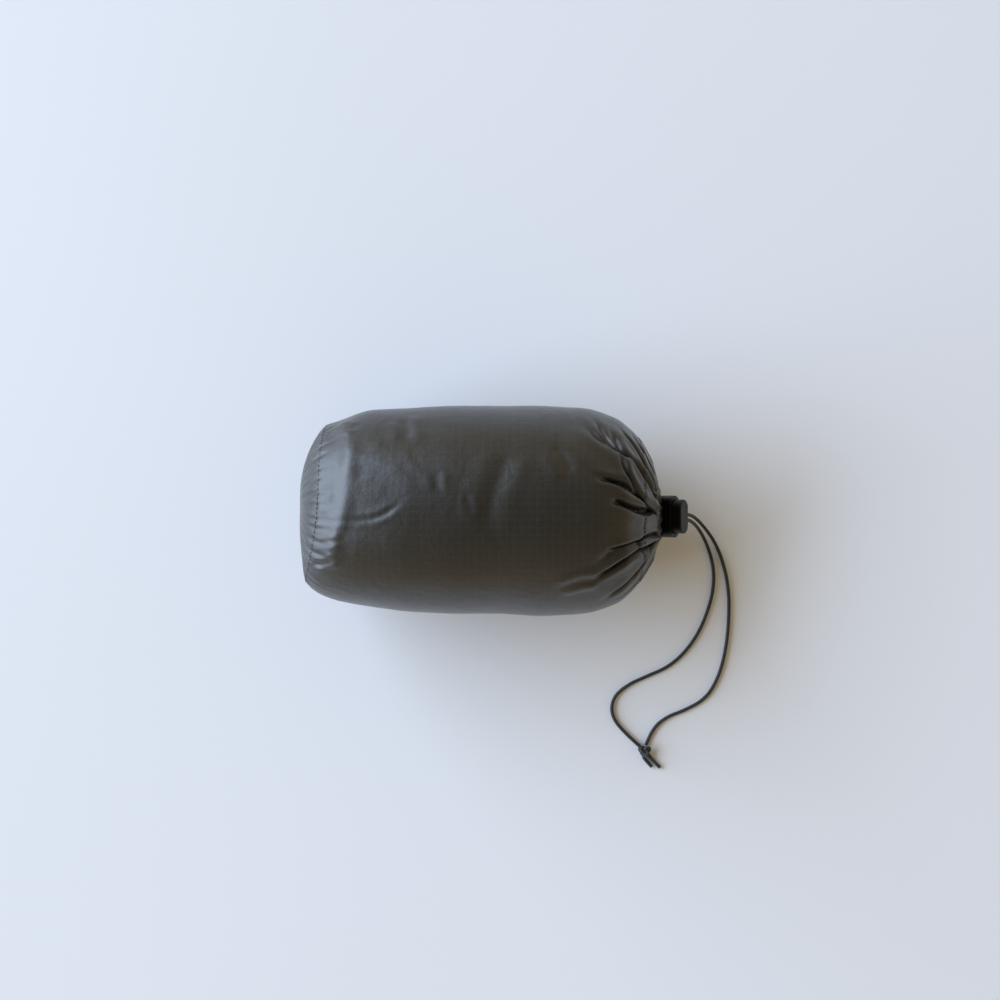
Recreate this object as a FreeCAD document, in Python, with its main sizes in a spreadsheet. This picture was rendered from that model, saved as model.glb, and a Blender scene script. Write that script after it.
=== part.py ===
"""Mummy sleeping bag packed in its drawcord stuff sack, lying on its side.

Millimetres.  +X runs from the sewn base panel to the drawn mouth, +Z is up and
the origin is at the bottom centre of the packed sack and its cord lock.
"""
import FreeCAD, Part
import math
import os
import Sketcher

from FreeCAD import Placement, Rotation, Vector

doc = FreeCAD.newDocument("packed_mummy_bag")
sheet = doc.addObject("Spreadsheet::Sheet", "Sizes")
sheet_rows = 0
delivered = []


def cell(alias, value):
    """One driving dimension: a plain number with an alias in the sheet."""
    global sheet_rows
    sheet_rows += 1
    sheet.set(f"A{sheet_rows}", alias)
    sheet.set(f"B{sheet_rows}", str(value))
    sheet.setAlias(f"B{sheet_rows}", alias)


def deliver(piece, label):
    """Name a finished sub-part; its label is also the name of its file."""
    piece.Label = label
    delivered.append(piece)
    return piece


# ---------------------------------------------------------------- dimensions
cell("fabric", 0.8)                 # coated ripstop, thick enough to be a solid
cell("hem", 4.0)                    # folded drawcord channel, both layers and the cord
cell("thread", 0.4)                 # how far a row of stitches stands proud
cell("stitch_row", 1.0)             # width of a row of stitches
cell("side_seam_from", -84.0)       # flat-felled seam inside, along the resting side
cell("side_seam_long", 145.0)
cell("side_seam_wide", 10.0)
cell("side_seam_thick", 1.0)
cell("base_seam_at", -124.5)        # plane where the base panel is sewn in
cell("base_stitch_behind", 2.5)     # the stitches sit on the base panel's own edge
cell("channel_at", 101.0)           # plane where the drawcord channel begins
cell("channel_stitch_past", 0.8)

cell("cord", 2.5)                   # drawcord diameter
cell("cord_pair", 3.4)              # between the two strands in the lock
cell("cord_ring", 26.3)             # radius of the drawn-up cord in its channel
cell("cord_ring_at", 109.5)
cell("cord_room", 0.2)              # clearance round the cord in its channel

cell("lock_side", -3.8)             # centre of the lock and the drawn mouth, across
cell("hollow_level", 58.0)          # centre of the hollow that the lock sits in
cell("mouth_hole", 17.1)            # radius of the gathered hollow behind the lock
cell("mouth_depth_at", 104.0)       # its floor
cell("mouth_cut_long", 40.0)        # the cut runs out past the mouth

cell("lock_at", 118.9)              # where the cord crosses the lock
cell("lock_level", 62.0)
cell("lock_rise", 35.0)             # degrees that the plunger points above level
cell("housing_wide", 29.0)
cell("housing_thick", 14.0)
cell("housing_above", 8.0)          # rim above the cord
cell("housing_below", 9.0)          # closed end below the cord
cell("housing_floor", 1.0)
cell("housing_end_round", 1.6)
cell("housing_rim_round", 0.35)
cell("plunger_wide", 23.5)
cell("plunger_thick", 11.5)
cell("plunger_above", 15.3)
cell("plunger_below", 3.4)
cell("plunger_fit", 0.3)            # clearance between plunger and bore, each side
cell("plunger_cap_round", 1.0)
cell("press_travel", 3.0)
cell("slot_wide", 6.6)
cell("housing_slot_short", 0.2)     # the housing's slot stops this much before full travel
cell("plunger_slot_spare", 0.1)     # and the plunger's goes this much past it
cell("cut_past_wall", 2.0)          # how far a slot cut runs past each outer wall
cell("pinch", 1.4)                  # half the gap that grips the cord at rest
cell("spring_wire", 0.45)
cell("spring_coil", 2.6)            # mean radius
cell("spring_turns", 3.0)
cell("spring_gap", 0.02)            # at each end of the spring

cell("knot_half_tall", 3.8)
cell("knot_half_wide", 5.2)
cell("knot_at", 110.7)
cell("knot_side", -176.9)

cell("cloth", 0.5)                  # bag shell and liner cloth
cell("down_loft", 3.4)              # compressed down between them
cell("baffle", 0.3)
cell("layer_gap", 1.7)              # between the two liners, where the zipper lies
cell("roll_air", 0.05)              # between one turn of the roll and the next
cell("roll_core", 2.0)
cell("roll_half_turns", 10)
cell("roll_from", -84.0)
cell("roll_long", 158.0)
cell("roll_side", -5.3)
cell("roll_level", 66.2)
cell("chamber", 55.0)               # spacing of the baffles along the bag

cell("tape_from", 58.0)             # zipper, along the roll
cell("tape_wide", 12.0)
cell("tape_thick", 0.4)
cell("coil_from", 61.5)
cell("coil_wide", 5.0)
cell("coil_thick", 0.9)
cell("tube_from", 30.0)
cell("tube_wide", 22.0)
cell("tube_thick", 1.4)
cell("zip_air", 0.1)                # between the liner and the zipper's first layer

cell("foot_from", -122.0)
cell("foot_deep", 32.0)
cell("foot_round", 46.0)
cell("foot_level", 61.0)
cell("hood_from", 79.0)
cell("hood_round", 67.6)            # radius of the domed hood
cell("hood_centre_at", 31.4)
cell("hood_level", 62.0)
cell("end_loft", 5.0)               # down in the footbox and the hood
cell("hood_lock_from", 76.0)
cell("hood_lock_stem_from", 79.0)
cell("hood_lock_stem_round", 3.0)
cell("hood_lock_stem_long", 9.0)
doc.recompute()

BEYOND = 200                        # planes this far along X lie outside everything
BLOCK_WIDE = 240                    # a cutting block is wider and taller than the sack
BLOCK_BELOW = 60


def size(alias):
    return float(sheet.get(alias))


# ------------------------------------------------------------ the sack's form
# Sections along the sack: name, place, half width, half height, centre across,
# centre above the floor, and how far the cloth there faces along X (-1 to 1).
SECTIONS = [
    ("crown", -134.4, 12.0, 12.0, 5.0, 60.0, -1.0),
    ("dome", -131.0, 37.0, 36.0, 5.5, 59.0, -0.9),
    ("seam", -124.5, 54.0, 52.0, 5.0, 59.0, -0.7),
    ("turn", -112.8, 60.5, 57.5, 2.4, 61.0, -0.4),
    ("shoulder", -92.0, 67.3, 63.0, 3.0, 63.0, -0.15),
    ("back", -64.5, 70.0, 66.0, 0.8, 64.5, 0.0),
    ("waist", -30.0, 71.6, 68.0, 1.0, 65.0, 0.0),
    ("middle", 4.5, 71.4, 68.0, 0.8, 65.0, 0.0),
    ("belly", 32.0, 72.8, 68.0, 0.0, 65.0, 0.0),
    ("front", 66.6, 71.0, 66.0, 0.0, 64.0, 0.1),
    ("bend", 87.3, 63.5, 60.0, 0.0, 63.0, 0.45),
    ("gather", 101.0, 50.0, 47.0, 0.5, 62.0, 0.75),
    ("pleats", 109.4, 34.5, 33.0, -0.5, 61.0, 0.9),
    ("mouth", 113.5, 20.5, 20.0, -3.0, 59.5, 1.0),
]
for name, place, wide, high, across, level, faces in SECTIONS:
    cell(f"{name}_at", place)
    cell(f"{name}_wide", wide)
    cell(f"{name}_high", high)
    cell(f"{name}_side", across)
    cell(f"{name}_level", level)
    cell(f"{name}_faces", faces)

ACROSS_X = Rotation(Vector(1, 1, 1), 120)      # local X, Y, Z become Y, Z, X


def form(name, grow, floor):
    """The sack's closed form, grown outwards by an expression and cut flat below."""
    rings = []
    for section, *_ in SECTIONS:
        ring = doc.addObject("Part::Ellipse", f"{name}_{section}")
        own = f"Sizes.{section}"
        outward = f"({grow}) * sqrt(1 - {own}_faces ^ 2)"
        ring.setExpression("MajorRadius", f"{own}_wide + {outward}")
        ring.setExpression("MinorRadius", f"{own}_high + {outward} - 0.001")
        ring.Placement = Placement(Vector(), ACROSS_X)
        ring.setExpression(".Placement.Base.x", f"{own}_at + ({grow}) * {own}_faces")
        ring.setExpression(".Placement.Base.y", f"{own}_side")
        ring.setExpression(".Placement.Base.z", f"{own}_level")
        rings.append(ring)
    loft = doc.addObject("Part::Loft", f"{name}_loft")
    loft.Sections = rings
    loft.Solid = True
    loft.Ruled = True
    above = slab(f"{name}_above_floor", -BEYOND, 2 * BEYOND)
    above.setExpression(".Placement.Base.z", floor)
    flat = doc.addObject("Part::Common", name)
    flat.Base = loft
    flat.Tool = above
    return flat


def slab(name, start, length):
    """A block wider than the sack, from one plane across X to another."""
    block = doc.addObject("Part::Box", name)
    block.Length = length
    block.Width = BLOCK_WIDE
    block.Height = BLOCK_WIDE
    block.Placement.Base = Vector(start, -BLOCK_WIDE / 2, -BLOCK_BELOW)
    return block


def boolean(kind, name, base, tool):
    result = doc.addObject(f"Part::{kind}", name)
    result.Base = base
    result.Tool = tool
    return result


def between(name, solid, start, length):
    """The part of a solid between two planes across X, given as expressions."""
    block = slab(f"{name}_stretch", 0, 100)
    block.setExpression(".Placement.Base.x", start)
    block.setExpression("Length", length)
    return boolean("Common", name, solid, block)


outer = form("outer_form", "0", "0")
inner = form("inner_form", "-Sizes.fabric", "Sizes.fabric")
hem_inner = form("hem_inner_form", "-Sizes.hem", "Sizes.hem")
proud = form("proud_form", "Sizes.thread", "0")
skin = boolean("Cut", "skin", outer, inner)
stitch_skin = boolean("Cut", "stitch_skin", proud, outer)
hem_skin = boolean("Cut", "hem_skin", outer, hem_inner)

# ---------------------------------------------------------------- stuff sack
deliver(
    between("base_panel", skin, f"-{BEYOND}", f"{BEYOND} + Sizes.base_seam_at"), "sack_base_panel",
)
deliver(
    between("side_panel", skin, "Sizes.base_seam_at", "Sizes.channel_at - Sizes.base_seam_at"),
    "sack_side_panel",
)
deliver(
    between(
        "base_stitches", stitch_skin,
        "Sizes.base_seam_at - Sizes.base_stitch_behind", "Sizes.stitch_row",
    ),
    "sack_base_seam_stitching",
)
deliver(
    between(
        "channel_stitches", stitch_skin,
        "Sizes.channel_at + Sizes.channel_stitch_past", "Sizes.stitch_row",
    ),
    "sack_channel_stitching",
)


def along_x(kind, name, side, level, **sizes):
    """A round solid whose axis runs along X, at a place across and a level."""
    solid = doc.addObject(kind, name)
    for key, expression in sizes.items():
        if key != "place":
            solid.setExpression(key, expression)
    solid.Placement = Placement(Vector(), ACROSS_X)
    solid.setExpression(".Placement.Base.x", sizes["place"])
    solid.setExpression(".Placement.Base.y", side)
    solid.setExpression(".Placement.Base.z", level)
    return solid


channel = between("channel_solid", hem_skin, "Sizes.channel_at", f"{BEYOND}")
hollow = along_x(
    "Part::Cylinder", "mouth_hollow", "Sizes.lock_side", "Sizes.hollow_level",
    Radius="Sizes.mouth_hole", Height="Sizes.mouth_cut_long", place="Sizes.mouth_depth_at",
)
groove = along_x(
    "Part::Torus", "cord_groove", "Sizes.pleats_side", "Sizes.pleats_level",
    Radius1="Sizes.cord_ring", Radius2="Sizes.cord / 2 + Sizes.cord_room", place="Sizes.cord_ring_at",
)
opened = boolean("Cut", "channel_open", channel, hollow)
deliver(boolean("Cut", "drawcord_channel", opened, groove), "sack_drawcord_channel")

gather_outside = along_x(
    "Part::Cylinder", "gather_outside", "Sizes.lock_side", "Sizes.hollow_level",
    Radius="Sizes.mouth_hole + Sizes.fabric",
    Height="Sizes.mouth_at - Sizes.hem - Sizes.mouth_depth_at + Sizes.fabric",
    place="Sizes.mouth_depth_at - Sizes.fabric",
)
deliver(boolean("Cut", "mouth_gather", gather_outside, hollow), "sack_gathered_mouth")

side_seam = doc.addObject("Part::Box", "side_seam")
side_seam.setExpression("Length", "Sizes.side_seam_long")
side_seam.setExpression("Width", "Sizes.side_seam_wide")
side_seam.setExpression("Height", "Sizes.side_seam_thick")
side_seam.setExpression(".Placement.Base.x", "Sizes.side_seam_from")
side_seam.setExpression(".Placement.Base.y", "-Sizes.side_seam_wide / 2")
side_seam.setExpression(".Placement.Base.z", "Sizes.fabric")
deliver(side_seam, "sack_side_seam")

deliver(
    along_x(
        "Part::Torus", "channel_run", "Sizes.pleats_side", "Sizes.pleats_level",
        Radius1="Sizes.cord_ring", Radius2="Sizes.cord / 2", place="Sizes.cord_ring_at",
    ),
    "drawcord_channel_run",
)

# ----------------------------------------------------------------- cord lock
# Local Z is the plunger's axis, local X is the way the cord leaves, local Y is level.
LOCK = Placement(
    Vector(size("lock_at"), size("lock_side"), size("lock_level")),
    Rotation(Vector(0, 1, 0), 90 - size("lock_rise")),
)


def plane(body, role):
    return next(f for f in body.Origin.OriginFeatures if f.Role == role)


def new_sketch(body, name, role, height="0"):
    """A sketch on one of the body's own planes, raised by an expression."""
    sketch = body.newObject("Sketcher::SketchObject", name)
    sketch.AttachmentSupport = [(plane(body, role), "")]
    sketch.MapMode = "FlatFace"
    sketch.setExpression(".AttachmentOffset.Base.z", height)
    return sketch


def name_constraint(sketch, index, name, expression):
    sketch.renameConstraint(index, name)
    sketch.setExpression(f"Constraints.{name}", expression)


def draw_oval(sketch, width, thickness):
    """A long round-ended outline: width along local Y, thickness along local X."""
    half = 5.0                              # drawn at this size, then driven by the sheet
    centre_up, centre_down = Vector(0, half, 0), Vector(0, -half, 0)
    normal = Vector(0, 0, 1)
    up = sketch.addGeometry(Part.ArcOfCircle(Part.Circle(centre_up, normal, half), 0, math.pi))
    left = sketch.addGeometry(Part.LineSegment(Vector(-half, half, 0), Vector(-half, -half, 0)))
    circle = Part.Circle(centre_down, normal, half)
    down = sketch.addGeometry(Part.ArcOfCircle(circle, math.pi, 2 * math.pi))
    right = sketch.addGeometry(Part.LineSegment(Vector(half, -half, 0), Vector(half, half, 0)))
    for first, second in ((up, left), (left, down), (down, right), (right, up)):
        sketch.addConstraint(Sketcher.Constraint("Tangent", first, 2, second, 1))
    sketch.addConstraint(Sketcher.Constraint("Symmetric", up, 3, down, 3, -1, 1))
    sketch.addConstraint(Sketcher.Constraint("PointOnObject", up, 3, -2))
    sketch.addConstraint(Sketcher.Constraint("Vertical", left))
    radius = sketch.addConstraint(Sketcher.Constraint("Radius", up, half))
    apart = sketch.addConstraint(Sketcher.Constraint("DistanceY", down, 3, up, 3, 2 * half))
    name_constraint(sketch, radius, "end_radius", f"({thickness}) / 2")
    name_constraint(sketch, apart, "straight", f"({width}) - ({thickness})")


def draw_slot(sketch, width, below, above):
    """A rectangle centred across, reaching below and above the cord on local Z."""
    half, tall = 3.0, 1.0                   # drawn at this size, then driven by the sheet
    corners = [
        Vector(-half, -tall, 0), Vector(half, -tall, 0), Vector(half, tall, 0), Vector(-half, tall, 0),
    ]
    sides = [
        sketch.addGeometry(Part.LineSegment(corners[k], corners[(k + 1) % 4])) for k in range(4)
    ]
    for k in range(4):
        sketch.addConstraint(Sketcher.Constraint("Coincident", sides[k], 2, sides[(k + 1) % 4], 1))
    sketch.addConstraint(Sketcher.Constraint("Horizontal", sides[2]))
    sketch.addConstraint(Sketcher.Constraint("Vertical", sides[1]))
    sketch.addConstraint(Sketcher.Constraint("Symmetric", sides[0], 1, sides[0], 2, -2))
    wide = sketch.addConstraint(Sketcher.Constraint("DistanceX", sides[0], 1, sides[0], 2, 2 * half))
    bottom = sketch.addConstraint(Sketcher.Constraint("DistanceY", sides[0], 1, -1, 1, tall))
    top = sketch.addConstraint(Sketcher.Constraint("DistanceY", -1, 1, sides[2], 1, tall))
    name_constraint(sketch, wide, "wide", width)
    name_constraint(sketch, bottom, "below", below)
    name_constraint(sketch, top, "above", above)


def pad(body, sketch, name, length):
    feature = body.newObject("PartDesign::Pad", name)
    feature.Profile = sketch
    feature.setExpression("Length", length)
    return feature


def pocket(body, sketch, name, length, both_ways=False):
    """A cut whose volume is checked, so that one pointing away can't pass."""
    doc.recompute()
    before = body.Shape.Volume
    feature = body.newObject("PartDesign::Pocket", name)
    feature.Profile = sketch
    feature.setExpression("Length", length)
    if both_ways:
        feature.SideType = "Symmetric"
    doc.recompute()
    if not body.Shape.Volume < before - 1:
        raise RuntimeError(f"{name} cuts nothing")
    return feature


def soften(body, name, level, radius):
    """Round the outer edges that lie at one height on the body's own Z."""
    doc.recompute()
    rounded = body.Tip
    edges = [
        f"Edge{k + 1}"
        for k, edge in enumerate(rounded.Shape.Edges)
        if abs(edge.BoundBox.ZMin - level) < 0.01 and abs(edge.BoundBox.ZMax - level) < 0.01
    ]
    feature = body.newObject("PartDesign::Fillet", name)
    feature.Base = (rounded, edges)
    feature.setExpression("Radius", radius)
    return feature


housing = doc.addObject("PartDesign::Body", "housing")
outline = new_sketch(housing, "housing_outline", "XY_Plane", "-Sizes.housing_below")
draw_oval(outline, "Sizes.housing_wide", "Sizes.housing_thick")
pad(housing, outline, "housing_block", "Sizes.housing_below + Sizes.housing_above")
soften(housing, "housing_end_round", -size("housing_below"), "Sizes.housing_end_round")
soften(housing, "housing_rim_round", size("housing_above"), "Sizes.housing_rim_round")
bore = new_sketch(housing, "housing_bore", "XY_Plane", "Sizes.housing_above")
draw_oval(
    bore,
    "Sizes.plunger_wide + 2 * Sizes.plunger_fit",
    "Sizes.plunger_thick + 2 * Sizes.plunger_fit",
)
pocket(
    housing, bore, "housing_bore_cut",
    "Sizes.housing_below + Sizes.housing_above - Sizes.housing_floor",
)
slot = new_sketch(housing, "housing_slot", "YZ_Plane")
draw_slot(
    slot, "Sizes.slot_wide",
    "Sizes.pinch + Sizes.press_travel - Sizes.housing_slot_short", "Sizes.pinch",
)
pocket(
    housing, slot, "housing_slot_cut", "Sizes.housing_thick + 2 * Sizes.cut_past_wall",
    both_ways=True,
)
housing.Placement = LOCK
deliver(housing, "cord_lock_housing")

plunger = doc.addObject("PartDesign::Body", "plunger")
outline = new_sketch(plunger, "plunger_outline", "XY_Plane", "-Sizes.plunger_below")
draw_oval(outline, "Sizes.plunger_wide", "Sizes.plunger_thick")
pad(plunger, outline, "plunger_block", "Sizes.plunger_below + Sizes.plunger_above")
soften(plunger, "plunger_cap_round", size("plunger_above"), "Sizes.plunger_cap_round")
slot = new_sketch(plunger, "plunger_slot", "YZ_Plane")
draw_slot(
    slot, "Sizes.slot_wide", "Sizes.pinch",
    "Sizes.pinch + Sizes.press_travel + Sizes.plunger_slot_spare",
)
pocket(
    plunger, slot, "plunger_slot_cut", "Sizes.plunger_thick + 2 * Sizes.cut_past_wall",
    both_ways=True,
)
plunger.Placement = LOCK
deliver(plunger, "cord_lock_plunger")

spring_end = size("spring_wire") / 2 + size("spring_gap")
spring_low = spring_end + size("housing_floor") - size("housing_below")
spring_high = -size("plunger_below") - spring_end
helix = Part.makeHelix(
    (spring_high - spring_low) / size("spring_turns"), spring_high - spring_low, size("spring_coil")
)
helix.translate(Vector(0, 0, spring_low))
wire_circle = Part.Wire(
    Part.makeCircle(
        size("spring_wire") / 2, Vector(size("spring_coil"), 0, spring_low), Vector(0, 1, 0)
    )
)
spring = doc.addObject("Part::Feature", "spring")
spring.Shape = Part.Wire(helix).makePipeShell([wire_circle], True, True)
spring.Placement = LOCK
deliver(spring, "cord_lock_spring")

# ------------------------------------------------------------------ drawcord
FLOOR_LEVEL = 1.35                          # cord axis where it lies on the floor
LOCK_REACH = 8.5                            # straight cord either side of the lock's middle
OUTER_STRAIGHT = 17.5                       # and straight on to each strand's first bend
INNER_STRAIGHT = 16.9


def in_lock(along, across):
    """A point on a strand as it passes straight through the lock."""
    return LOCK.multVec(Vector(along, across, 0))


def rounded_path(points):
    """Straight runs joined by tangent arcs; returns the wire and its radii."""
    edges, radii = [], []
    start = points[0]
    for before, corner, after in zip(points, points[1:], points[2:]):
        back, ahead = before - corner, after - corner
        turn = math.pi - back.getAngle(ahead)
        cut = 0.45 * min(back.Length, ahead.Length)
        radius = cut / math.tan(turn / 2)
        back.normalize()
        ahead.normalize()
        enter, leave = corner + back * cut, corner + ahead * cut
        inward = back + ahead
        inward.normalize()
        middle = corner + inward * (radius / math.cos(turn / 2) - radius)
        edges.append(Part.LineSegment(start, enter).toShape())
        edges.append(Part.Arc(enter, middle, leave).toShape())
        start = leave
        radii.append(radius)
    edges.append(Part.LineSegment(start, points[-1]).toShape())
    return Part.Wire(edges), radii


def cord_piece(label, points):
    """A round cord swept along a route; its volume is checked against its length."""
    path, radii = rounded_path(points)
    spine = doc.addObject("Part::Feature", f"{label}_route")
    spine.Shape = path
    section = doc.addObject("Part::Circle", f"{label}_section")
    section.setExpression("Radius", "Sizes.cord / 2")
    heading = points[1] - points[0]
    section.Placement = Placement(points[0], Rotation(Vector(0, 0, 1), heading))
    sweep = doc.addObject("Part::Sweep", label)
    sweep.Sections = [section]
    sweep.Spine = (spine, [f"Edge{k + 1}" for k in range(len(path.Edges))])
    sweep.Solid = True
    sweep.Frenet = False
    doc.recompute()
    expected = math.pi * size("cord") ** 2 / 4 * path.Length
    if abs(sweep.Shape.Volume / expected - 1) > 0.01:
        raise RuntimeError(f"{label} has the wrong volume")
    tightest = f"tightest bend {min(radii):.1f}" if radii else "straight"
    print(f"{label}: length {path.Length:.1f}, {tightest}, radii {[round(r) for r in radii]}")
    return deliver(sweep, label)


HALF_PAIR = size("cord_pair") / 2
for label, across in (("drawcord_lock_run_1", HALF_PAIR), ("drawcord_lock_run_2", -HALF_PAIR)):
    run = doc.addObject("Part::Cylinder", label)
    run.setExpression("Radius", "Sizes.cord / 2")
    run.Height = 2 * LOCK_REACH
    away = in_lock(LOCK_REACH, across) - in_lock(-LOCK_REACH, across)
    run.Placement = Placement(in_lock(-LOCK_REACH, across), Rotation(Vector(0, 0, 1), away))
    deliver(run, label)

OUTER_STRAND = [
    in_lock(LOCK_REACH, HALF_PAIR),
    in_lock(LOCK_REACH + OUTER_STRAIGHT, HALF_PAIR),
    Vector(143.8, -3.5, 24.5),
    Vector(154.0, -12.0, 9.0),
    Vector(163.5, -24.0, FLOOR_LEVEL),
    Vector(170.0, -41.0, FLOOR_LEVEL),
    Vector(173.4, -60.0, FLOOR_LEVEL),
    Vector(173.4, -80.0, FLOOR_LEVEL),
    Vector(171.5, -100.5, FLOOR_LEVEL),
    Vector(166.5, -121.5, FLOOR_LEVEL),
    Vector(157.0, -138.5, FLOOR_LEVEL),
    Vector(141.0, -147.5, FLOOR_LEVEL),
    Vector(127.0, -152.5, FLOOR_LEVEL),
    Vector(116.5, -161.5, FLOOR_LEVEL),
    Vector(112.0, -173.3, FLOOR_LEVEL),
]
INNER_STRAND = [
    in_lock(LOCK_REACH, -HALF_PAIR),
    in_lock(LOCK_REACH + INNER_STRAIGHT, -HALF_PAIR),
    Vector(142.8, -7.5, 25.5),
    Vector(151.0, -15.0, 10.0),
    Vector(158.0, -27.0, FLOOR_LEVEL),
    Vector(162.3, -42.5, FLOOR_LEVEL),
    Vector(162.0, -58.5, FLOOR_LEVEL),
    Vector(157.8, -74.5, FLOOR_LEVEL),
    Vector(151.0, -90.5, FLOOR_LEVEL),
    Vector(140.8, -105.0, FLOOR_LEVEL),
    Vector(128.0, -116.0, FLOOR_LEVEL),
    Vector(112.5, -122.5, FLOOR_LEVEL),
    Vector(98.0, -129.0, FLOOR_LEVEL),
    Vector(87.5, -138.5, FLOOR_LEVEL),
    Vector(86.5, -152.0, FLOOR_LEVEL),
    Vector(97.0, -165.0, FLOOR_LEVEL),
    Vector(107.9, -174.4, FLOOR_LEVEL),
]
FIRST_TAIL = [
    Vector(109.6, -180.5, FLOOR_LEVEL),
    Vector(112.0, -184.8, FLOOR_LEVEL),
    Vector(115.8, -188.8, FLOOR_LEVEL),
]
SECOND_TAIL = [
    Vector(113.2, -179.4, FLOOR_LEVEL),
    Vector(117.0, -184.6, FLOOR_LEVEL),
    Vector(121.9, -189.5, FLOOR_LEVEL),
]
cord_piece("drawcord_strand_1", OUTER_STRAND)
cord_piece("drawcord_strand_2", INNER_STRAND)
cord_piece("drawcord_tail_1", FIRST_TAIL)
cord_piece("drawcord_tail_2", SECOND_TAIL)

knot = doc.addObject("Part::Ellipsoid", "knot")
knot.setExpression("Radius1", "Sizes.knot_half_tall")
knot.setExpression("Radius2", "Sizes.knot_half_wide")
knot.setExpression("Radius3", "Sizes.knot_half_wide")
knot.setExpression(".Placement.Base.x", "Sizes.knot_at")
knot.setExpression(".Placement.Base.y", "Sizes.knot_side")
knot.setExpression(".Placement.Base.z", "Sizes.knot_half_tall")
deliver(knot, "drawcord_knot")

# -------------------------------------------------- the rolled mummy bag inside
ROLL_STEP = size("cloth") * 2 + size("down_loft") + size("layer_gap") / 2 + size("roll_air")
NORMAL = Vector(0, 0, 1)


def half_turn(number, offset):
    """Centre, radius and first angle of one half turn of a layer at an offset."""
    centre = Vector(0 if number % 2 == 0 else ROLL_STEP, 0, 0)
    radius = size("roll_core") + offset + number * ROLL_STEP
    return centre, radius, math.pi * (number % 2)


def on_arc(centre, radius, angle):
    return centre + Vector(radius * math.cos(angle), radius * math.sin(angle), 0)


def ring_sector(number, low, high, start, end):
    """Edges round one piece of a layer, between two offsets and two angles."""
    centre, near, _ = half_turn(number, low)
    far = near + high - low
    return [
        Part.ArcOfCircle(Part.Circle(centre, NORMAL, near), start, end),
        Part.LineSegment(on_arc(centre, near, end), on_arc(centre, far, end)),
        Part.ArcOfCircle(Part.Circle(centre, NORMAL, far), start, end),
        Part.LineSegment(on_arc(centre, far, start), on_arc(centre, near, start)),
    ]


def whole_layer(low, high):
    """Edges round a layer that runs through every half turn in one piece."""
    edges = []
    for offset in (low, high):
        for number in range(int(size("roll_half_turns"))):
            centre, radius, start = half_turn(number, offset)
            edges.append(
                Part.ArcOfCircle(Part.Circle(centre, NORMAL, radius), start, start + math.pi)
            )
    last = int(size("roll_half_turns")) - 1
    for number, turn in ((0, 0.0), (last, math.pi)):
        centre, near, start = half_turn(number, low)
        _, far, _ = half_turn(number, high)
        edges.append(
            Part.LineSegment(
                on_arc(centre, near, start + turn), on_arc(centre, far, start + turn)
            )
        )
    return edges


def chambers_and_baffles(low, high):
    """Down chambers of about equal length, and the baffle walls between them."""
    chambers, walls = [], []
    count = int(size("roll_half_turns"))
    for number in range(count):
        _, radius, start = half_turn(number, (low + high) / 2)
        pieces = max(1, round(math.pi * radius / size("chamber")))
        wall = size("baffle") / (2 * radius)
        for piece in range(pieces):
            first = start + math.pi * piece / pieces
            last = start + math.pi * (piece + 1) / pieces
            chambers += ring_sector(number, low, high, first + wall, last - wall)
            walls += ring_sector(number, low, high, last - wall, last)
    return chambers, walls


def rolled(label, edges, start="Sizes.roll_from", length="Sizes.roll_long"):
    """Extrude a drawn layer along the roll's axis."""
    sketch = doc.addObject("Sketcher::SketchObject", f"{label}_outline")
    sketch.addGeometry(edges, False)
    sketch.Placement = Placement(Vector(), ACROSS_X)
    sketch.setExpression(".Placement.Base.x", start)
    sketch.setExpression(".Placement.Base.y", "Sizes.roll_side")
    sketch.setExpression(".Placement.Base.z", "Sizes.roll_level")
    solid = doc.addObject("Part::Extrusion", label)
    solid.Base = sketch
    solid.DirMode = "Custom"
    solid.Dir = Vector(1, 0, 0)
    solid.setExpression("LengthFwd", length)
    solid.Solid = True
    return deliver(solid, label)


cloth, loft, gap = size("cloth"), size("down_loft"), size("layer_gap")
liner_low = cloth + loft
gap_low = liner_low + cloth
gap_high = gap_low + gap
down_low = gap_high + cloth
rolled("bag_top_shell", whole_layer(0, cloth))
rolled("bag_top_liner", whole_layer(liner_low, gap_low))
rolled("bag_bottom_liner", whole_layer(gap_high, down_low))
rolled("bag_bottom_shell", whole_layer(down_low + loft, down_low + loft + cloth))
for side, low in (("top", cloth), ("bottom", down_low)):
    chambers, walls = chambers_and_baffles(low, low + loft)
    rolled(f"bag_{side}_down_chambers", chambers)
    rolled(f"bag_{side}_baffles", walls)
tape_low = gap_low + size("zip_air")
tape_high = tape_low + size("tape_thick")
coil_low = tape_high + size("zip_air")
coil_high = coil_low + size("coil_thick")
tube_high = tape_low + size("tube_thick")
tapes, coil, tube = ((f"Sizes.{part}_from", f"Sizes.{part}_wide") for part in ("tape", "coil", "tube"))
rolled("zipper_tapes", whole_layer(tape_low, tape_high), *tapes)
rolled("zipper_coil", whole_layer(coil_low, coil_high), *coil)
rolled("zipper_draft_tube", whole_layer(tape_low, tube_high), *tube)


def block(label, corner, long, wide, tall):
    """A small flat piece: its lowest corner, and its sizes along X, Y and Z."""
    solid = doc.addObject("Part::Box", label)
    solid.Length = long
    solid.Width = wide
    solid.Height = tall
    solid.Placement.Base = corner
    return solid


roll_end = size("roll_core") + size("roll_half_turns") * ROLL_STEP + gap_low + size("roll_side")
level = size("roll_level")
slider_corner = Vector(60, roll_end - 0.2, level + 0.3)
pull_corner = Vector(62.5, roll_end + 2.4, level + 4)
deliver(block("slider", slider_corner, long=8, wide=2.4, tall=8.7), "zipper_slider")
deliver(block("pull_tab", pull_corner, long=3, wide=1, tall=22), "zipper_pull_tab")
deliver(block("tab", Vector(74.5, -14, 100), long=0.9, wide=28, tall=16), "hood_closure_tab")
deliver(block("label", Vector(-112, -12, 60), long=22, wide=24, tall=0.4), "care_label")

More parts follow.
